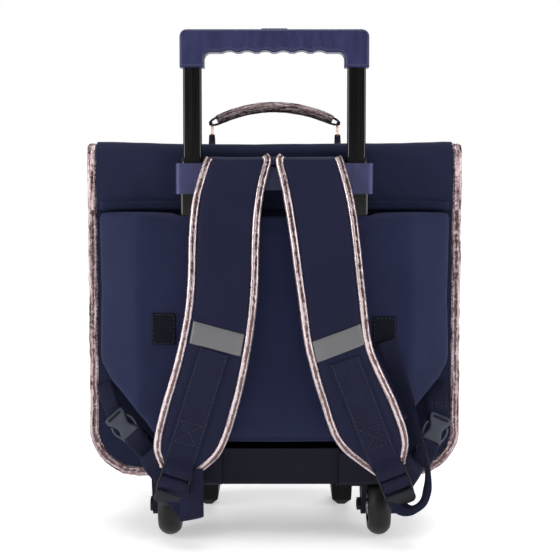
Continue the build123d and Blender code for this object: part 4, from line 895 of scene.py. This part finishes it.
def make_back_panel():
    """The foam panel: its cut foam, softened, with its cover pulled in at a stitched border."""
    low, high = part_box("back_panel")
    panel = bpy.data.objects.new("back_panel_cover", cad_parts["back_panel"].data.copy())
    bpy.context.scene.collection.objects.link(panel)
    panel.data.materials.clear()
    panel.data.materials.append(LIT_PANEL_CLOTH)
    remesh = panel.modifiers.new("even", "REMESH")
    remesh.mode = "VOXEL"
    remesh.voxel_size = 0.005
    easing = panel.modifiers.new("eased", "SMOOTH")
    easing.factor, easing.iterations = 0.5, 6
    settle(panel)
    cut = points_of(panel)
    reshape_edge(cut)
    move_to(panel, cut)
    inflate(panel)
    move_to(panel, hold_back(points_of(panel), cut))
    panel.modifiers.new("round", "SUBSURF").levels = 1
    settle(panel)
    points = points_of(panel)
    outer = np.clip((BACK - points[:, 1] - 0.004) / 0.01, 0, 1)
    border = 0.0008 * bell(high.z - points[:, 2], 0.010, 0.0024)
    border = border + 0.0020 * bell(points[:, 2] - low.z, 0.010, 0.0024)
    relief = 0.0010 * ripple(points, 0.06, 12.0) + 0.0003 * ripple(points, 0.018, 3.0)
    points[:, 1] += outer * (border - relief)
    clear_channels(points)
    move_to(panel, points)
    placed(panel, "bag", "navy_fabric", "back_panel")


def inflate(piece):
    """Lets a closed cover swell over its filling, as a short cloth simulation."""
    last_step = 20
    scene = bpy.context.scene
    modifier = piece.modifiers.new("cloth", "CLOTH")
    cloth = modifier.settings
    cloth.quality = 5
    cloth.mass = 0.15
    cloth.tension_stiffness = 40
    cloth.compression_stiffness = 40
    cloth.shear_stiffness = 20
    cloth.bending_stiffness = 2
    cloth.use_pressure = True
    cloth.uniform_pressure_force = 4.0
    cloth.effector_weights.gravity = 0
    modifier.point_cache.frame_start = 1
    modifier.point_cache.frame_end = last_step
    for step in range(1, last_step + 1):
        scene.frame_set(step)
        bpy.context.view_layer.update()
    settle(piece)
    scene.frame_set(1)


# ------------------------------------------------------------------ the shoulder straps
STRAP_ARC = (-0.59264, 0.22591, 0.66670)
STRAP_DEEP = 0.014
PIPE = 0.0075
STRAP_EDGES = {
    "left": (
        [(-0.071, 0.4225), (-0.087, 0.361), (-0.091, 0.270), (-0.102, 0.208), (-0.120, 0.146),
         (-0.127, 0.110), (-0.121, 0.087)],
        [(-0.001, 0.4225), (-0.014, 0.361), (-0.018, 0.270), (-0.026, 0.208), (-0.040, 0.146),
         (-0.058, 0.100), (-0.089, 0.075)],
    ),
    "right": (
        [(0.070, 0.4225), (0.085, 0.361), (0.095, 0.270), (0.103, 0.215), (0.127, 0.161), (0.141, 0.120),
         (0.138, 0.091)],
        [(-0.001, 0.4225), (0.012, 0.361), (0.025, 0.270), (0.033, 0.215), (0.048, 0.161), (0.067, 0.112),
         (0.107, 0.078)],
    ),
}


def strap_out(z):
    """How far behind the bag's back the straps' outer face is at a height."""
    height = np.maximum(z, 0.085) - STRAP_ARC[1]
    return STRAP_ARC[0] + np.sqrt(STRAP_ARC[2] ** 2 - height**2)


def strap_middle(z):
    """Where the middle of the straps' thickness lies at a height."""
    return BACK - strap_out(z) + STRAP_DEEP / 2


def strap_edge(points):
    """One long edge of a strap in even steps of (x, z), from its sewn top down."""
    line = curve([(x, 0, z) for x, z in points], 0.001)
    line = line[line[:, 2] <= STRAP_TOP - 0.0005]
    return read_off(line[:, [0, 2]], shares(len(line)), shares(110))


def strap_rows(name):
    """The two edges, left to right as seen from behind, and the outward direction at each step."""
    outer, inner = (strap_edge(points) for points in STRAP_EDGES[name])
    left, right = (outer, inner) if SIDES[name] < 0 else (inner, outer)
    z = (left[:, 1] + right[:, 1]) / 2
    slope = (strap_out(z + 0.001) - strap_out(z - 0.001)) / 0.002
    return left, right, unit(columns(0, -1, -slope))


def make_pad(name, left, right, outward, seed):
    """A strap's padded cloth, soft on its outer face, with a groove beside each edge."""
    turn = around(56)
    across, up = powered(np.cos(turn), 2 / 5.0), powered(np.sin(turn), 2 / 2.6)
    rings = []
    starts, ends = (columns(edge[:, 0], 0, edge[:, 1]) for edge in (left, right))
    for start, end, out in zip(starts, ends, outward):
        reach = np.linalg.norm(end - start) / 2 - 0.0035
        flat = (start + end) / 2 + unit(end - start) * (across * reach)[:, None]
        flat[:, 1] = strap_middle(flat[:, 2])
        rings.append(flat + out * (up * STRAP_DEEP * 0.5)[:, None])
    grid = np.array(rings)
    outer = np.clip(up, 0, 1)[None, :]
    share = outer * np.clip(1 - np.abs(across) ** 6, 0, 1)[None, :]
    soft = 0.0012 * ripple(grid, 0.05, seed) + 0.0004 * ripple(grid, 0.014, seed)
    groove = 0.0011 * bell(np.abs(across), 0.86, 0.05)[None, :]
    grid = grid + outward[:, None] * (share * (soft + 0.0008) - outer * groove)[..., None]
    pad = skin(f"strap_{name}_pad", grid, STRAP_CLOTH, wrap=True, caps=True, sharp=70)
    turned_out(pad)
    placed(pad, "bag", "strap_fabric", f"strap_{name}")
    return pad


def make_pipes(left, right, outward, seed):
    """The taped piping down both edges of a strap and across its lower end."""
    sunk = 0.0012
    pipes = []
    for row, (line, inward) in enumerate(((left, 1), (right, -1))):
        path = columns(line[:, 0], strap_middle(line[:, 1]) - sunk, line[:, 1])
        sideways = unit(np.cross(outward, unit(np.gradient(path, axis=0))))
        sideways *= np.sign(sideways[:, :1]) * -inward
        path = path - sideways * (PIPE / 2)
        start = path[0] + (inward * 0.0024, 0.0016, 0.0052)
        path = curve([start, path[0], *path[6::6], path[-1]], 0.0014)
        sideways = sideways[np.arange(len(path)) * len(sideways) // len(path)]
        label, wide, thick = f"pipe_{row}", PIPE + 0.0012, 0.0112
        pipes.append(tape(label, path, sideways, wide, thick, FOIL_STRAP, seed + 5 + row, 0.0002, 0.02))
    end_x, end_z = np.linspace(left[-1], right[-1], 30).T
    end = columns(end_x, strap_middle(end_z) - sunk, end_z)
    pipes.append(tape("pipe_end", end + Z * 0.003, -Z, PIPE, 0.0105, FOIL_STRAP, seed + 9, 0.0002, 0.02))
    return pipes


def turned_out(piece):
    """Makes a closed surface face outwards."""
    made = bmesh.new()
    made.from_mesh(piece.data)
    bmesh.ops.recalc_face_normals(made, faces=made.faces)
    made.to_mesh(piece.data)
    made.free()


def tree_of(pieces):
    """A search tree over the given pieces' surfaces."""
    points, faces = [], []
    for piece in pieces:
        faces += [[len(points) + k for k in face.vertices] for face in piece.data.polygons]
        points += [tuple(v.co) for v in piece.data.vertices]
    return BVHTree.FromPolygons(points, faces)


def laid(tree, points):
    """Points (x, z) laid on the straps' rear faces. One that misses takes the depth of the one before it."""
    made = []
    y = BACK - 0.06
    for x, z in np.reshape(points, (-1, 2)):
        hit = tree.ray_cast(Vector((x, -1, z)), Vector((0, 1, 0)))[0]
        y = hit.y if hit else y
        made.append((x, y, z))
    return np.array(made).reshape(*np.shape(points)[:-1], 3)


def patch(name, left, right, rows, width, tree, lift, thick, material):
    """A flat piece sewn on a strap, between two lines of (x, z) given from its top down."""
    runs = [(line, run_of(line)) for line in (left, right)]
    a, b = (read_off(line, run, np.linspace(0, run[-1], rows)) for line, run in runs)
    share = shares(width)[None, :, None]
    grid = laid(tree, a[:, None] * (1 - share) + b[:, None] * share)
    for _ in range(4):
        soft = grid[..., 1].copy()
        soft[1:-1] = (grid[:-2, :, 1] + 2 * grid[1:-1, :, 1] + grid[2:, :, 1]) / 4
        soft[:, 1:-1] = (soft[:, :-2] + 2 * soft[:, 1:-1] + soft[:, 2:]) / 4
        grid[..., 1] = soft
    grid[..., 1] -= lift
    sheet = skin(name, grid[::-1], material, sharp=70)
    thicken(sheet, thick)
    return sheet, grid


# The left and right edges of the strips sewn on each strap, as (x, z) from the top down.
BANDS = {
    "left": ([(-0.084, 0.245), (-0.088, 0.222)], [(-0.031, 0.231), (-0.035, 0.208)]),
    "right": ([(0.039, 0.223), (0.044, 0.201)], [(0.090, 0.242), (0.095, 0.221)]),
}
MIDDLES = {
    "left": (
        [(-0.077, 0.218), (-0.115, 0.099), (-0.118, 0.086)],
        [(-0.047, 0.209), (-0.085, 0.086), (-0.090, 0.078)],
    ),
    "right": (
        [(0.058, 0.199), (0.101, 0.088), (0.108, 0.078)],
        [(0.088, 0.209), (0.129, 0.103), (0.136, 0.086)],
    ),
}


def webbing_rows(name, grid):
    """Stitches down both edges of a strap's webbing, and a crossed box."""
    top, cells = 40, 12
    lines = {f"row_{name}_{column}": grid[:, column] for column in (1, 15)}
    for k, row in enumerate((top, top + cells)):
        lines[f"box_{name}_{k}"] = grid[row, 2:15]
    steps = np.arange(cells + 1)
    for k, column in enumerate((2 + steps, 14 - steps)):
        lines[f"box_{name}_{k + 2}"] = grid[top + steps, column]
    return [stitches(label, line - Y * 0.0003, -Y) for label, line in lines.items()]


def make_straps():
    pads, pipes = [], []
    for name, side in SIDES.items():
        edges, seed = strap_rows(name), 20.0 + side
        pads.append(make_pad(name, *edges, seed))
        pipes += make_pipes(*edges, seed)
    placed(joined("strap_tape", pipes), "bag", "rose_binding", "strap_piping")
    tree = tree_of(pads)
    bands, middles, rows = [], [], []
    for name in SIDES:
        bands.append(patch(f"reflective_{name}", *BANDS[name], 12, 26, tree, 0.0009, 0.0006, REFLECTIVE)[0])
        middle, grid = patch(f"middle_{name}", *MIDDLES[name], 70, 17, tree, 0.0016, 0.0012, WEBBING)
        middles.append(middle)
        rows += webbing_rows(name, grid)
    placed(joined("reflective_tape", bands), "bag", "reflective", "reflective_bands")
    placed(joined("strap_webbing_sewn", middles), "bag", "navy_webbing", "strap_webbing")
    placed(joined("strap_stitches", rows), "bag", "navy_webbing")


def make_anchor():
    """The cloth that carries the straps' tops over the bracket to the yoke."""
    low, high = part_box("strap_anchor")
    route = [
        (low.y + 0.0030, STRAP_TOP - 0.0035), (low.y + 0.0036, STRAP_TOP + 0.0006),
        (low.y + 0.012, high.z + 0.0015), ((low.y + high.y) / 2, high.z + 0.0022),
        (high.y - 0.008, high.z + 0.0012), (high.y - 0.0004, high.z + 0.0008),
    ]
    wide = np.linspace(low.x + 0.002, high.x - 0.002, 60)
    grid = np.array([[(x, y, z) for x in wide] for _, y, z in curve([(0, y, z) for y, z in route], 0.0018)])
    grid[..., 2] += 0.0007 * ripple(grid, 0.03, 15.0)
    sheet = skin("strap_anchor_cloth", grid, NAVY, sharp=70)
    thicken(sheet, 0.0026)
    placed(sheet, "bag", "navy_fabric", "strap_anchor")


# ------------------------------------------------------------------ locks, buckles and loose webbing
LOCK_BACK = BACK - 0.0628
LOCKS = {"left": (-0.1060, 0.0716, -17.3), "right": (0.1276, 0.0716, 21.2)}
BUCKLES = {"left": (-0.145, 0.102, 42.2), "right": (0.164, 0.092, -23.0)}
BUCKLE_BACK = BACK - 0.018


def axes_of(turn):
    """The right and up directions of a piece that is turned in its own upright plane, seen from behind."""
    c, s = math.cos(math.radians(turn)), math.sin(math.radians(turn))
    return np.array([c, 0.0, s]), np.array([-s, 0.0, c])


def route(start, ahead, run):
    """Points as far ahead of a start, given as (x, z), and as far behind the bag's back as the run says."""
    start = np.array([start[0], 0, start[1]])
    return [start + ahead * along + Y * (BACK - out) for along, out in run]


def bar(name, centre, right, size, depth, material, bevel, out=-Y, dome=0.0, corner=0.002):
    """A moulded bar or plate, centred on a point of its back plane."""
    outline = rounded(size[0], size[1], min(corner, size[0] / 2.1, size[1] / 2.1))
    return plate(name, outline, depth, centre, right, out, material, bevel, dome)


# Each cross bar's height on the lock, its width and height, its depth and its bevel.
LOCK_BARS = [
    (0.0135, 0.0308, 0.0062, 0.0042, 0.0014), (0.0, 0.0300, 0.0050, 0.0042, 0.0014),
    (-0.0120, 0.0308, 0.0060, 0.0048, 0.0016),
]
# A side's route down the lock, as (across, up, how far out).
LOCK_SIDE = [
    (0.0142, 0.0172, 0.0014), (0.0151, 0.0120, 0.0024), (0.0153, 0.0, 0.0028), (0.0150, -0.0110, 0.0028),
    (0.0138, -0.0160, 0.0030),
]
# Each band's route, as (up the lock, how far behind the bag's back).
LOCK_WRAPS = {
    "over_top": [(0.0245, 0.0612), (0.0190, 0.0655), (0.0140, 0.0690), (0.0092, 0.0678), (0.0066, 0.0630)],
    "over_middle": [(0.0064, 0.0640), (0.0040, 0.0680), (0.0, 0.0694), (-0.0044, 0.0680), (-0.0072, 0.0630)],
}


def make_lock(name):
    """A ladder lock: three cross bars between thin sides, and a rounded lip to pull on."""
    x, z, turn = LOCKS[name]
    right, up = axes_of(turn)
    centre = np.array([x, LOCK_BACK + 0.0004, z])
    pieces = []
    for height, width, tall, depth, bevel in LOCK_BARS:
        pieces.append(bar("lock_bar", centre + up * height, right, (width, tall), depth, SHADED_LOCK_PLASTIC, bevel))
    section = superellipse(0.0022, 0.0060, 3.5)
    for side in (-1, 1):
        line = [centre + right * side * w + up * h - Y * d for w, h, d in LOCK_SIDE]
        pieces.append(sweep(f"lock_side_{side}", curve(line, 0.0012), right, section, SHADED_LOCK_PLASTIC))
    lip = centre - up * 0.0166 - Y * 0.0022
    tilt = unit(-Y - up * 0.18)
    size, depth, bevel, dome, corner = (0.0310, 0.0146), 0.0030, 0.0012, 0.0008, 0.0052
    pieces.append(bar("lock_lip", lip, right, size, depth, SHADED_LOCK_PLASTIC, bevel, tilt, dome, corner))
    return joined(f"ladder_lock_{name}", pieces)


def lock_wraps(name):
    """The webbing that is wound over the lock's bars, in two bands."""
    x, z, turn = LOCKS[name]
    right, up = axes_of(turn)
    return [
        webbing(f"{label}_{name}", route((x, z), up, line), right, 0.0285, thick=0.0019)
        for label, line in LOCK_WRAPS.items()
    ]


# The plug's arm as (up, across), and half of the socket's outline as (across, up).
PLUG_ARM = [
    (0.0020, 0.0105), (0.0120, 0.0100), (0.0190, 0.0106), (0.0250, 0.0124), (0.0310, 0.0126), (0.0355, 0.0108),
]
SOCKET_HALF = [
    (0.0098, 0.0163), (0.0106, 0.0172), (0.0104, 0.0205), (0.0090, 0.0235), (0.0076, 0.0265), (0.0074, 0.0300),
    (0.0086, 0.0340), (0.0106, 0.0375), (0.0120, 0.0405), (0.0124, 0.0436), (0.0116, 0.0458), (0.0100, 0.0464),
]


def make_plug(name, base, right, up):
    """The half of a buckle with the sprung arms."""
    pieces = [
        bar("plug_body", base + up * 0.0110, right, (0.0205, 0.0100), 0.0062, GREY_PLASTIC, 0.0016),
        bar("plug_bar", base + up * 0.0030, right, (0.0235, 0.0042), 0.0060, GREY_PLASTIC, 0.0014),
    ]
    section = superellipse(0.0030, 0.0046, 3.5)
    for side in (-1, 1):
        arm = curve([base - Y * 0.0036 + up * h + right * side * w for h, w in PLUG_ARM], 0.0012)
        pieces.append(sweep(f"plug_arm_{side}", arm, right, section, GREY_PLASTIC))
    return joined(f"buckle_plug_{name}", pieces)


def make_socket(name, base, right, up):
    """The half of a buckle with the waist, and a thin black plate as painted shade where the slot for its
    webbing opens.
    """
    middle = [(0.0, SOCKET_HALF[0][1]), (0.0, SOCKET_HALF[-1][1])]
    outline = [middle[0], *SOCKET_HALF, middle[1], *[(-a, b) for a, b in SOCKET_HALF[::-1]], middle[0]]
    outline = spaced(outline, 0.0008)[:-1]
    body = plate("socket_body", outline, 0.0078, base, right, -Y, GREY_PLASTIC, 0.0011, 0.0006)
    # The slot is not cut: a thin black plate paints the shade in its opening.
    place = base + up * 0.0432 - Y * 0.0076
    slot = bar("socket_slot_shade", place, right, (0.0175, 0.0026), 0.0008, BLACK_PLASTIC, 0.0003)
    return joined(f"buckle_socket_{name}", [body, slot])


def make_fastenings():
    locks = [make_lock(name) for name in SIDES]
    placed(joined("ladder_locks_moulded", locks), "bag", "grey_plastic", "ladder_locks")
    plugs, sockets = [], []
    for name, (x, z, turn) in BUCKLES.items():
        base = np.array([x, BUCKLE_BACK, z])
        plugs.append(make_plug(name, base, *axes_of(turn)))
        sockets.append(make_socket(name, base, *axes_of(turn)))
    placed(joined("buckle_plugs_moulded", plugs), "bag", "grey_plastic", "buckle_plugs")
    placed(joined("buckle_sockets_moulded", sockets), "bag", "grey_plastic", "buckle_sockets")


# Each webbing's start and end, as (x, z), and its route as (how far ahead, how far behind the bag's back).
LOAD_RUN = {
    "left": (
        (-0.109, 0.062), (-0.145, 0.102),
        [(-0.010, 0.0622), (0.0, 0.0612), (0.014, 0.044), (0.034, 0.036), (0.046, 0.0200), (0.054, 0.0172),
         (0.066, 0.0172)],
    ),
    "right": (
        (0.131, 0.062), (0.164, 0.092),
        [(-0.010, 0.0622), (0.0, 0.0612), (0.013, 0.044), (0.025, 0.032), (0.034, 0.0190), (0.043, 0.0172),
         (0.056, 0.0172)],
    ),
}
PLUG_FOLD = [
    (-0.0120, 0.0195), (-0.0050, 0.0235), (0.0020, 0.0262), (0.0090, 0.0268), (0.0140, 0.0262), (0.0152, 0.0240),
]
# Each tab's folded end and sewn end, as (x, z), and its width.
TABS = {
    "left": ((-0.1740, 0.1340), (-0.1865, 0.162), 0.0180),
    "right": ((0.1790, 0.1310), (0.1775, 0.163), 0.0245),
}
SLANT = (0.73, 0, 0.68)
# Each tail's width, then its points, as (x, how far behind the bag's back, z), with the direction across it.
TAILS = {
    "left": (0.0255, [
        ((-0.1120, 0.0645, 0.0690), SLANT), ((-0.1060, 0.0672, 0.0620), SLANT),
        ((-0.0990, 0.0676, 0.0540), SLANT), ((-0.0925, 0.0674, 0.0460), SLANT),
        ((-0.0880, 0.0682, 0.0395), (0.90, 0, 0.42)),
        ((-0.0868, 0.0706, 0.0352), (0.94, 0, 0.32)), ((-0.0866, 0.0722, 0.0400), (0.96, 0, 0.26)),
        ((-0.0868, 0.0708, 0.0500), (0.99, 0, 0.14)), ((-0.0872, 0.0660, 0.0610), (1, 0, 0)),
        ((-0.0876, 0.0616, 0.0730), (1, 0, -0.06)), ((-0.0880, 0.0612, 0.0860), (1, 0, -0.1)),
    ]),
    "right": (0.0195, [
        ((0.1235, 0.0630, 0.0700), (0.93, 0, 0.36)), ((0.1262, 0.0655, 0.0590), (0.93, 0.1, 0.36)),
        ((0.1300, 0.0668, 0.0505), (0.85, 0.4, 0.3)), ((0.1370, 0.0680, 0.0452), (0.6, 0.7, 0.35)),
        ((0.1470, 0.0680, 0.0450), (0.35, 0.9, 0.25)), ((0.1570, 0.0655, 0.0515), (-0.10, 1, 0.15)),
        ((0.1618, 0.0615, 0.0640), (-0.30, 1, 0.1)), ((0.1628, 0.0575, 0.0790), (-0.20, 1, 0)),
        ((0.1608, 0.0530, 0.0960), (-0.15, 1, 0)), ((0.1525, 0.0490, 0.1220), (-0.4, 1, 0)),
        ((0.1400, 0.0465, 0.1600), (-0.8, 0.7, 0)), ((0.1255, 0.0450, 0.2000), (-1, 0.3, 0)),
        ((0.1190, 0.0445, 0.2190), (-1, 0, 0)),
    ]),
}


def make_loads():
    """The webbing from the ladder locks to the buckles, folded round the bars of both."""
    loads = []
    for name, (start, end, run) in LOAD_RUN.items():
        ahead = unit(np.array([end[0] - start[0], 0, end[1] - start[1]]))
        loads.append(webbing(f"load_{name}", route(start, ahead, run), np.cross(ahead, Y), 0.0245))
        x, z, turn = BUCKLES[name]
        right, up = axes_of(turn)
        loads.append(webbing(f"plug_fold_{name}", route((x, z), up, PLUG_FOLD), right, 0.0220, thick=0.0019))
        loads += lock_wraps(name)
    placed(joined("load_webbing_sewn", loads), "bag", "navy_webbing", "load_webbing")


def make_tabs():
    """The tabs sewn to the bag's sides, folded back through the buckles, with two rows of stitches."""
    tabs, rows = [], []
    for name, (foot, top, width) in TABS.items():
        ahead = np.array([top[0] - foot[0], 0, top[1] - foot[1]])
        reach = np.linalg.norm(ahead)
        ahead = unit(ahead)
        across = np.cross(ahead, Y)
        run = [
            (reach + 0.004, 0.0025), (reach - 0.001, 0.0085), (reach * 0.6, 0.0165), (0.004, 0.0192),
            (-0.0022, 0.0202), (-0.0042, 0.0182), (-0.001, 0.0160), (reach * 0.45, 0.0135),
        ]
        tabs.append(webbing(f"tab_{name}", route(foot, ahead, run), across, width))
        for low in (0.40, 0.52):
            middle = route(foot, ahead, [(reach * low, 0.0205 - 0.004 * low)])[0]
            line = middle + across * np.linspace(-0.4, 0.4, 8)[:, None] * width
            rows.append(stitches(f"tab_row_{name}_{low}", line, -Y))
    placed(joined("anchor_tabs_sewn", tabs), "bag", "navy_webbing", "anchor_tabs")
    placed(joined("anchor_stitches", rows), "bag", "navy_webbing")


def make_tails():
    """The loose ends of the webbing below the ladder locks."""
    tails = []
    for name, (width, steps) in TAILS.items():
        points = [(x, BACK - out, z) for (x, out, z), _ in steps]
        tails.append(webbing(f"tail_{name}", points, [side for _, side in steps], width))
    placed(joined("webbing_tails_loose", tails), "bag", "navy_webbing", "webbing_tails")


def make_hook_patches():
    """Squares of hook tape sewn to the back panel, with a stitched edge."""
    cover = points_of(bpy.data.objects["back_panel_cover"])
    pieces, rows = [], []
    for side, x, z in ((-1, -0.1185, 0.232), (1, 0.118, 0.228)):
        under = (np.abs(cover[:, 0] - x) < 0.0145) & (np.abs(cover[:, 2] - z) < 0.019)
        face = float(cover[under, 1].min())
        place = (x, face + 0.0005, z)
        pieces.append(bar(f"patch_{side}", place, X, (0.025, 0.034), 0.0016, HOOKS, 0.0005, corner=0.0012))
        edge = rounded(0.0222, 0.0312, 0.001, 2)
        line = [(x + a, face - 0.0013, z + b) for a, b in [*edge, edge[0]]]
        rows.append(stitches(f"patch_row_{side}", spaced(line, 0.001), -Y))
    placed(joined("hook_patches_sewn", pieces), "bag", "hook_patch", "hook_patches")
    placed(joined("hook_patch_stitches", rows), "bag", "hook_patch")


# ------------------------------------------------------------------ the carry handle
HANDLE_Y = BACK + 0.055
RING_X, RING_TOP = 0.072, FLAP_TOP + 0.0257


def make_wrap(end_z):
    """The handle's padded roll in its foil wrap, arched between its ends, with one long crease."""
    step, half, rise = 0.0012, 0.066, 0.0152
    x = np.linspace(-half, half, 15)
    path = curve(columns(x, HANDLE_Y, end_z + rise * (1 - (x / half) ** 2) + 0.0006), step)
    fat = 1 - 0.10 * np.abs(np.linspace(-1, 1, len(path))) ** 6
    turn = around(28)
    radius = 0.0057 + (-0.0011 * bell(turn, 4.2, 0.16) + 0.0005 * bell(turn, 4.6, 0.2))
    section = np.stack([np.cos(turn) * radius, np.sin(turn) * radius * 1.04], axis=1)
    sections = section[None] * fat[:, None, None]
    along = np.arange(len(path)) * step
    for k, angle in enumerate(turn):
        spot = columns(along, math.cos(angle) * 0.006, math.sin(angle) * 0.006)
        crumple = 1 + 0.035 * ripple(spot, 0.006, 60.0) + 0.05 * ripple(spot * (0.35, 1, 1), 0.004, 63.0)
        sections[:, k] *= crumple[:, None]
    wrap = sweep("handle_wrap", path, Y, sections, FOIL_ROLLED, sharp=70)
    placed(wrap, "carry_handle", "rose_binding", "carry_handle")


def make_handle_end(side, end_z):
    """The webbing that joins the roll to one ring, round the ring and back, and its row of stitches."""
    top = np.array([side * RING_X, HANDLE_Y, RING_TOP])
    lead = np.array([side * 0.061, HANDLE_Y, end_z + 0.0025])
    ahead = unit(lead - top)
    up = np.cross(ahead, Y) * side
    up = up if up[2] > 0 else -up
    steps = [
        (lead, -0.004, 0.0030), (lead, -0.006, 0.0036), (top, 0.001, 0.0028), (top, -0.0022, 0.0012),
        (top, -0.0026, -0.0008), (top, 0.0008, -0.0026), (lead, -0.006, -0.0036), (lead, 0.0, -0.0032),
    ]
    points = [start + ahead * along + up * lift for start, along, lift in steps]
    end = webbing(f"end_{side}", points, Y, 0.0145, thick=0.0018)
    row = lead - ahead * 0.0045 + up * 0.0046 + Y * np.linspace(-0.006, 0.006, 8)[:, None]
    return end, stitches(f"end_row_{side}", row, up)


def make_handle_loop(side):
    """The webbing loop that holds one ring on the flap."""
    loop_edge = min(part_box("handle_loops")[1].x, RING_X + 0.0046)
    half = [(0.0125, 0.0), (0.0085, 0.0022), (0.0040, 0.0085), (0.0014, 0.0108)]
    steps = [(-y, z) for y, z in half] + half[::-1]
    points = [(side * RING_X, HANDLE_Y + y, FLAP_TOP + 0.0006 + z) for y, z in steps]
    return webbing(f"loop_{side}", points, X, 2 * (loop_edge - RING_X), thick=0.0018)


def make_carry_handle():
    end_z = FLAP_TOP + 0.028
    make_wrap(end_z)
    ends, rows = zip(*[make_handle_end(side, end_z) for side in SIDES.values()])
    placed(joined("handle_ends_sewn", list(ends)), "carry_handle", "navy_webbing", "handle_ends")
    placed(joined("handle_end_stitches", list(rows)), "carry_handle", "navy_webbing")
    loops = [make_handle_loop(side) for side in SIDES.values()]
    placed(joined("handle_loops_sewn", loops), "flap", "navy_webbing", "handle_loops")


# ------------------------------------------------------------------ finishes of the frame's own pieces
FINISHES = {
    NAVY_PLASTIC: ["top_bracket"],
    GRIP_PLASTIC: ["grip", "release_button"],
    SHADED_BASE_PLASTIC: ["trolley_base"],
    TUBE: [f"{stage}_tube_{side}" for stage in ("outer", "middle", "inner") for side in SIDES],
    TYRE: ["tyre_left", "tyre_right"],
    BLACK_PLASTIC: [
        "hub_left", "hub_right", "front_feet", "guide_bushings", "middle_caps", "middle_glides", "inner_plugs",
    ],
    STEEL: [
        "axle_spacers", "bearings_left", "bearings_right", "button_spring", "lock_pins", "push_rods", "screws",
    ],
    DARK_STEEL: ["axles", "axle_nuts"],
    LINING: ["back_board", "bottom_board"],
    CLASP_PLASTIC: ["clasp_keepers", "clasp_latch_left", "clasp_latch_right"],
    ROSE_METAL: ["handle_rings", "clasp_button_left", "clasp_button_right"],
}


def finish_frame_nodes():
    for material, names in FINISHES.items():
        for name in names:
            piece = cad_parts[name]
            if not piece.material_slots:
                piece.data.materials.append(material)
            for place in piece.material_slots:
                place.material = material
    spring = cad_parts["button_spring"]
    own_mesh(spring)


set_camera(bpy.context.scene)
lay_floor()
light_studio(bpy.context.scene)
make_body()
make_pocket()
make_flap()
make_seam_tape("front_seam_tape", FRONT - BINDING / 4, RIM, "front_binding", 41.0)
make_seam_tape("rear_seam_tape", BACK + BINDING / 4, YOKE_BOTTOM, "back_binding", 43.0)
make_back_panel()
make_straps()
make_anchor()
make_fastenings()
make_loads()
make_tabs()
make_tails()
make_hook_patches()
make_carry_handle()
finish_frame_nodes()
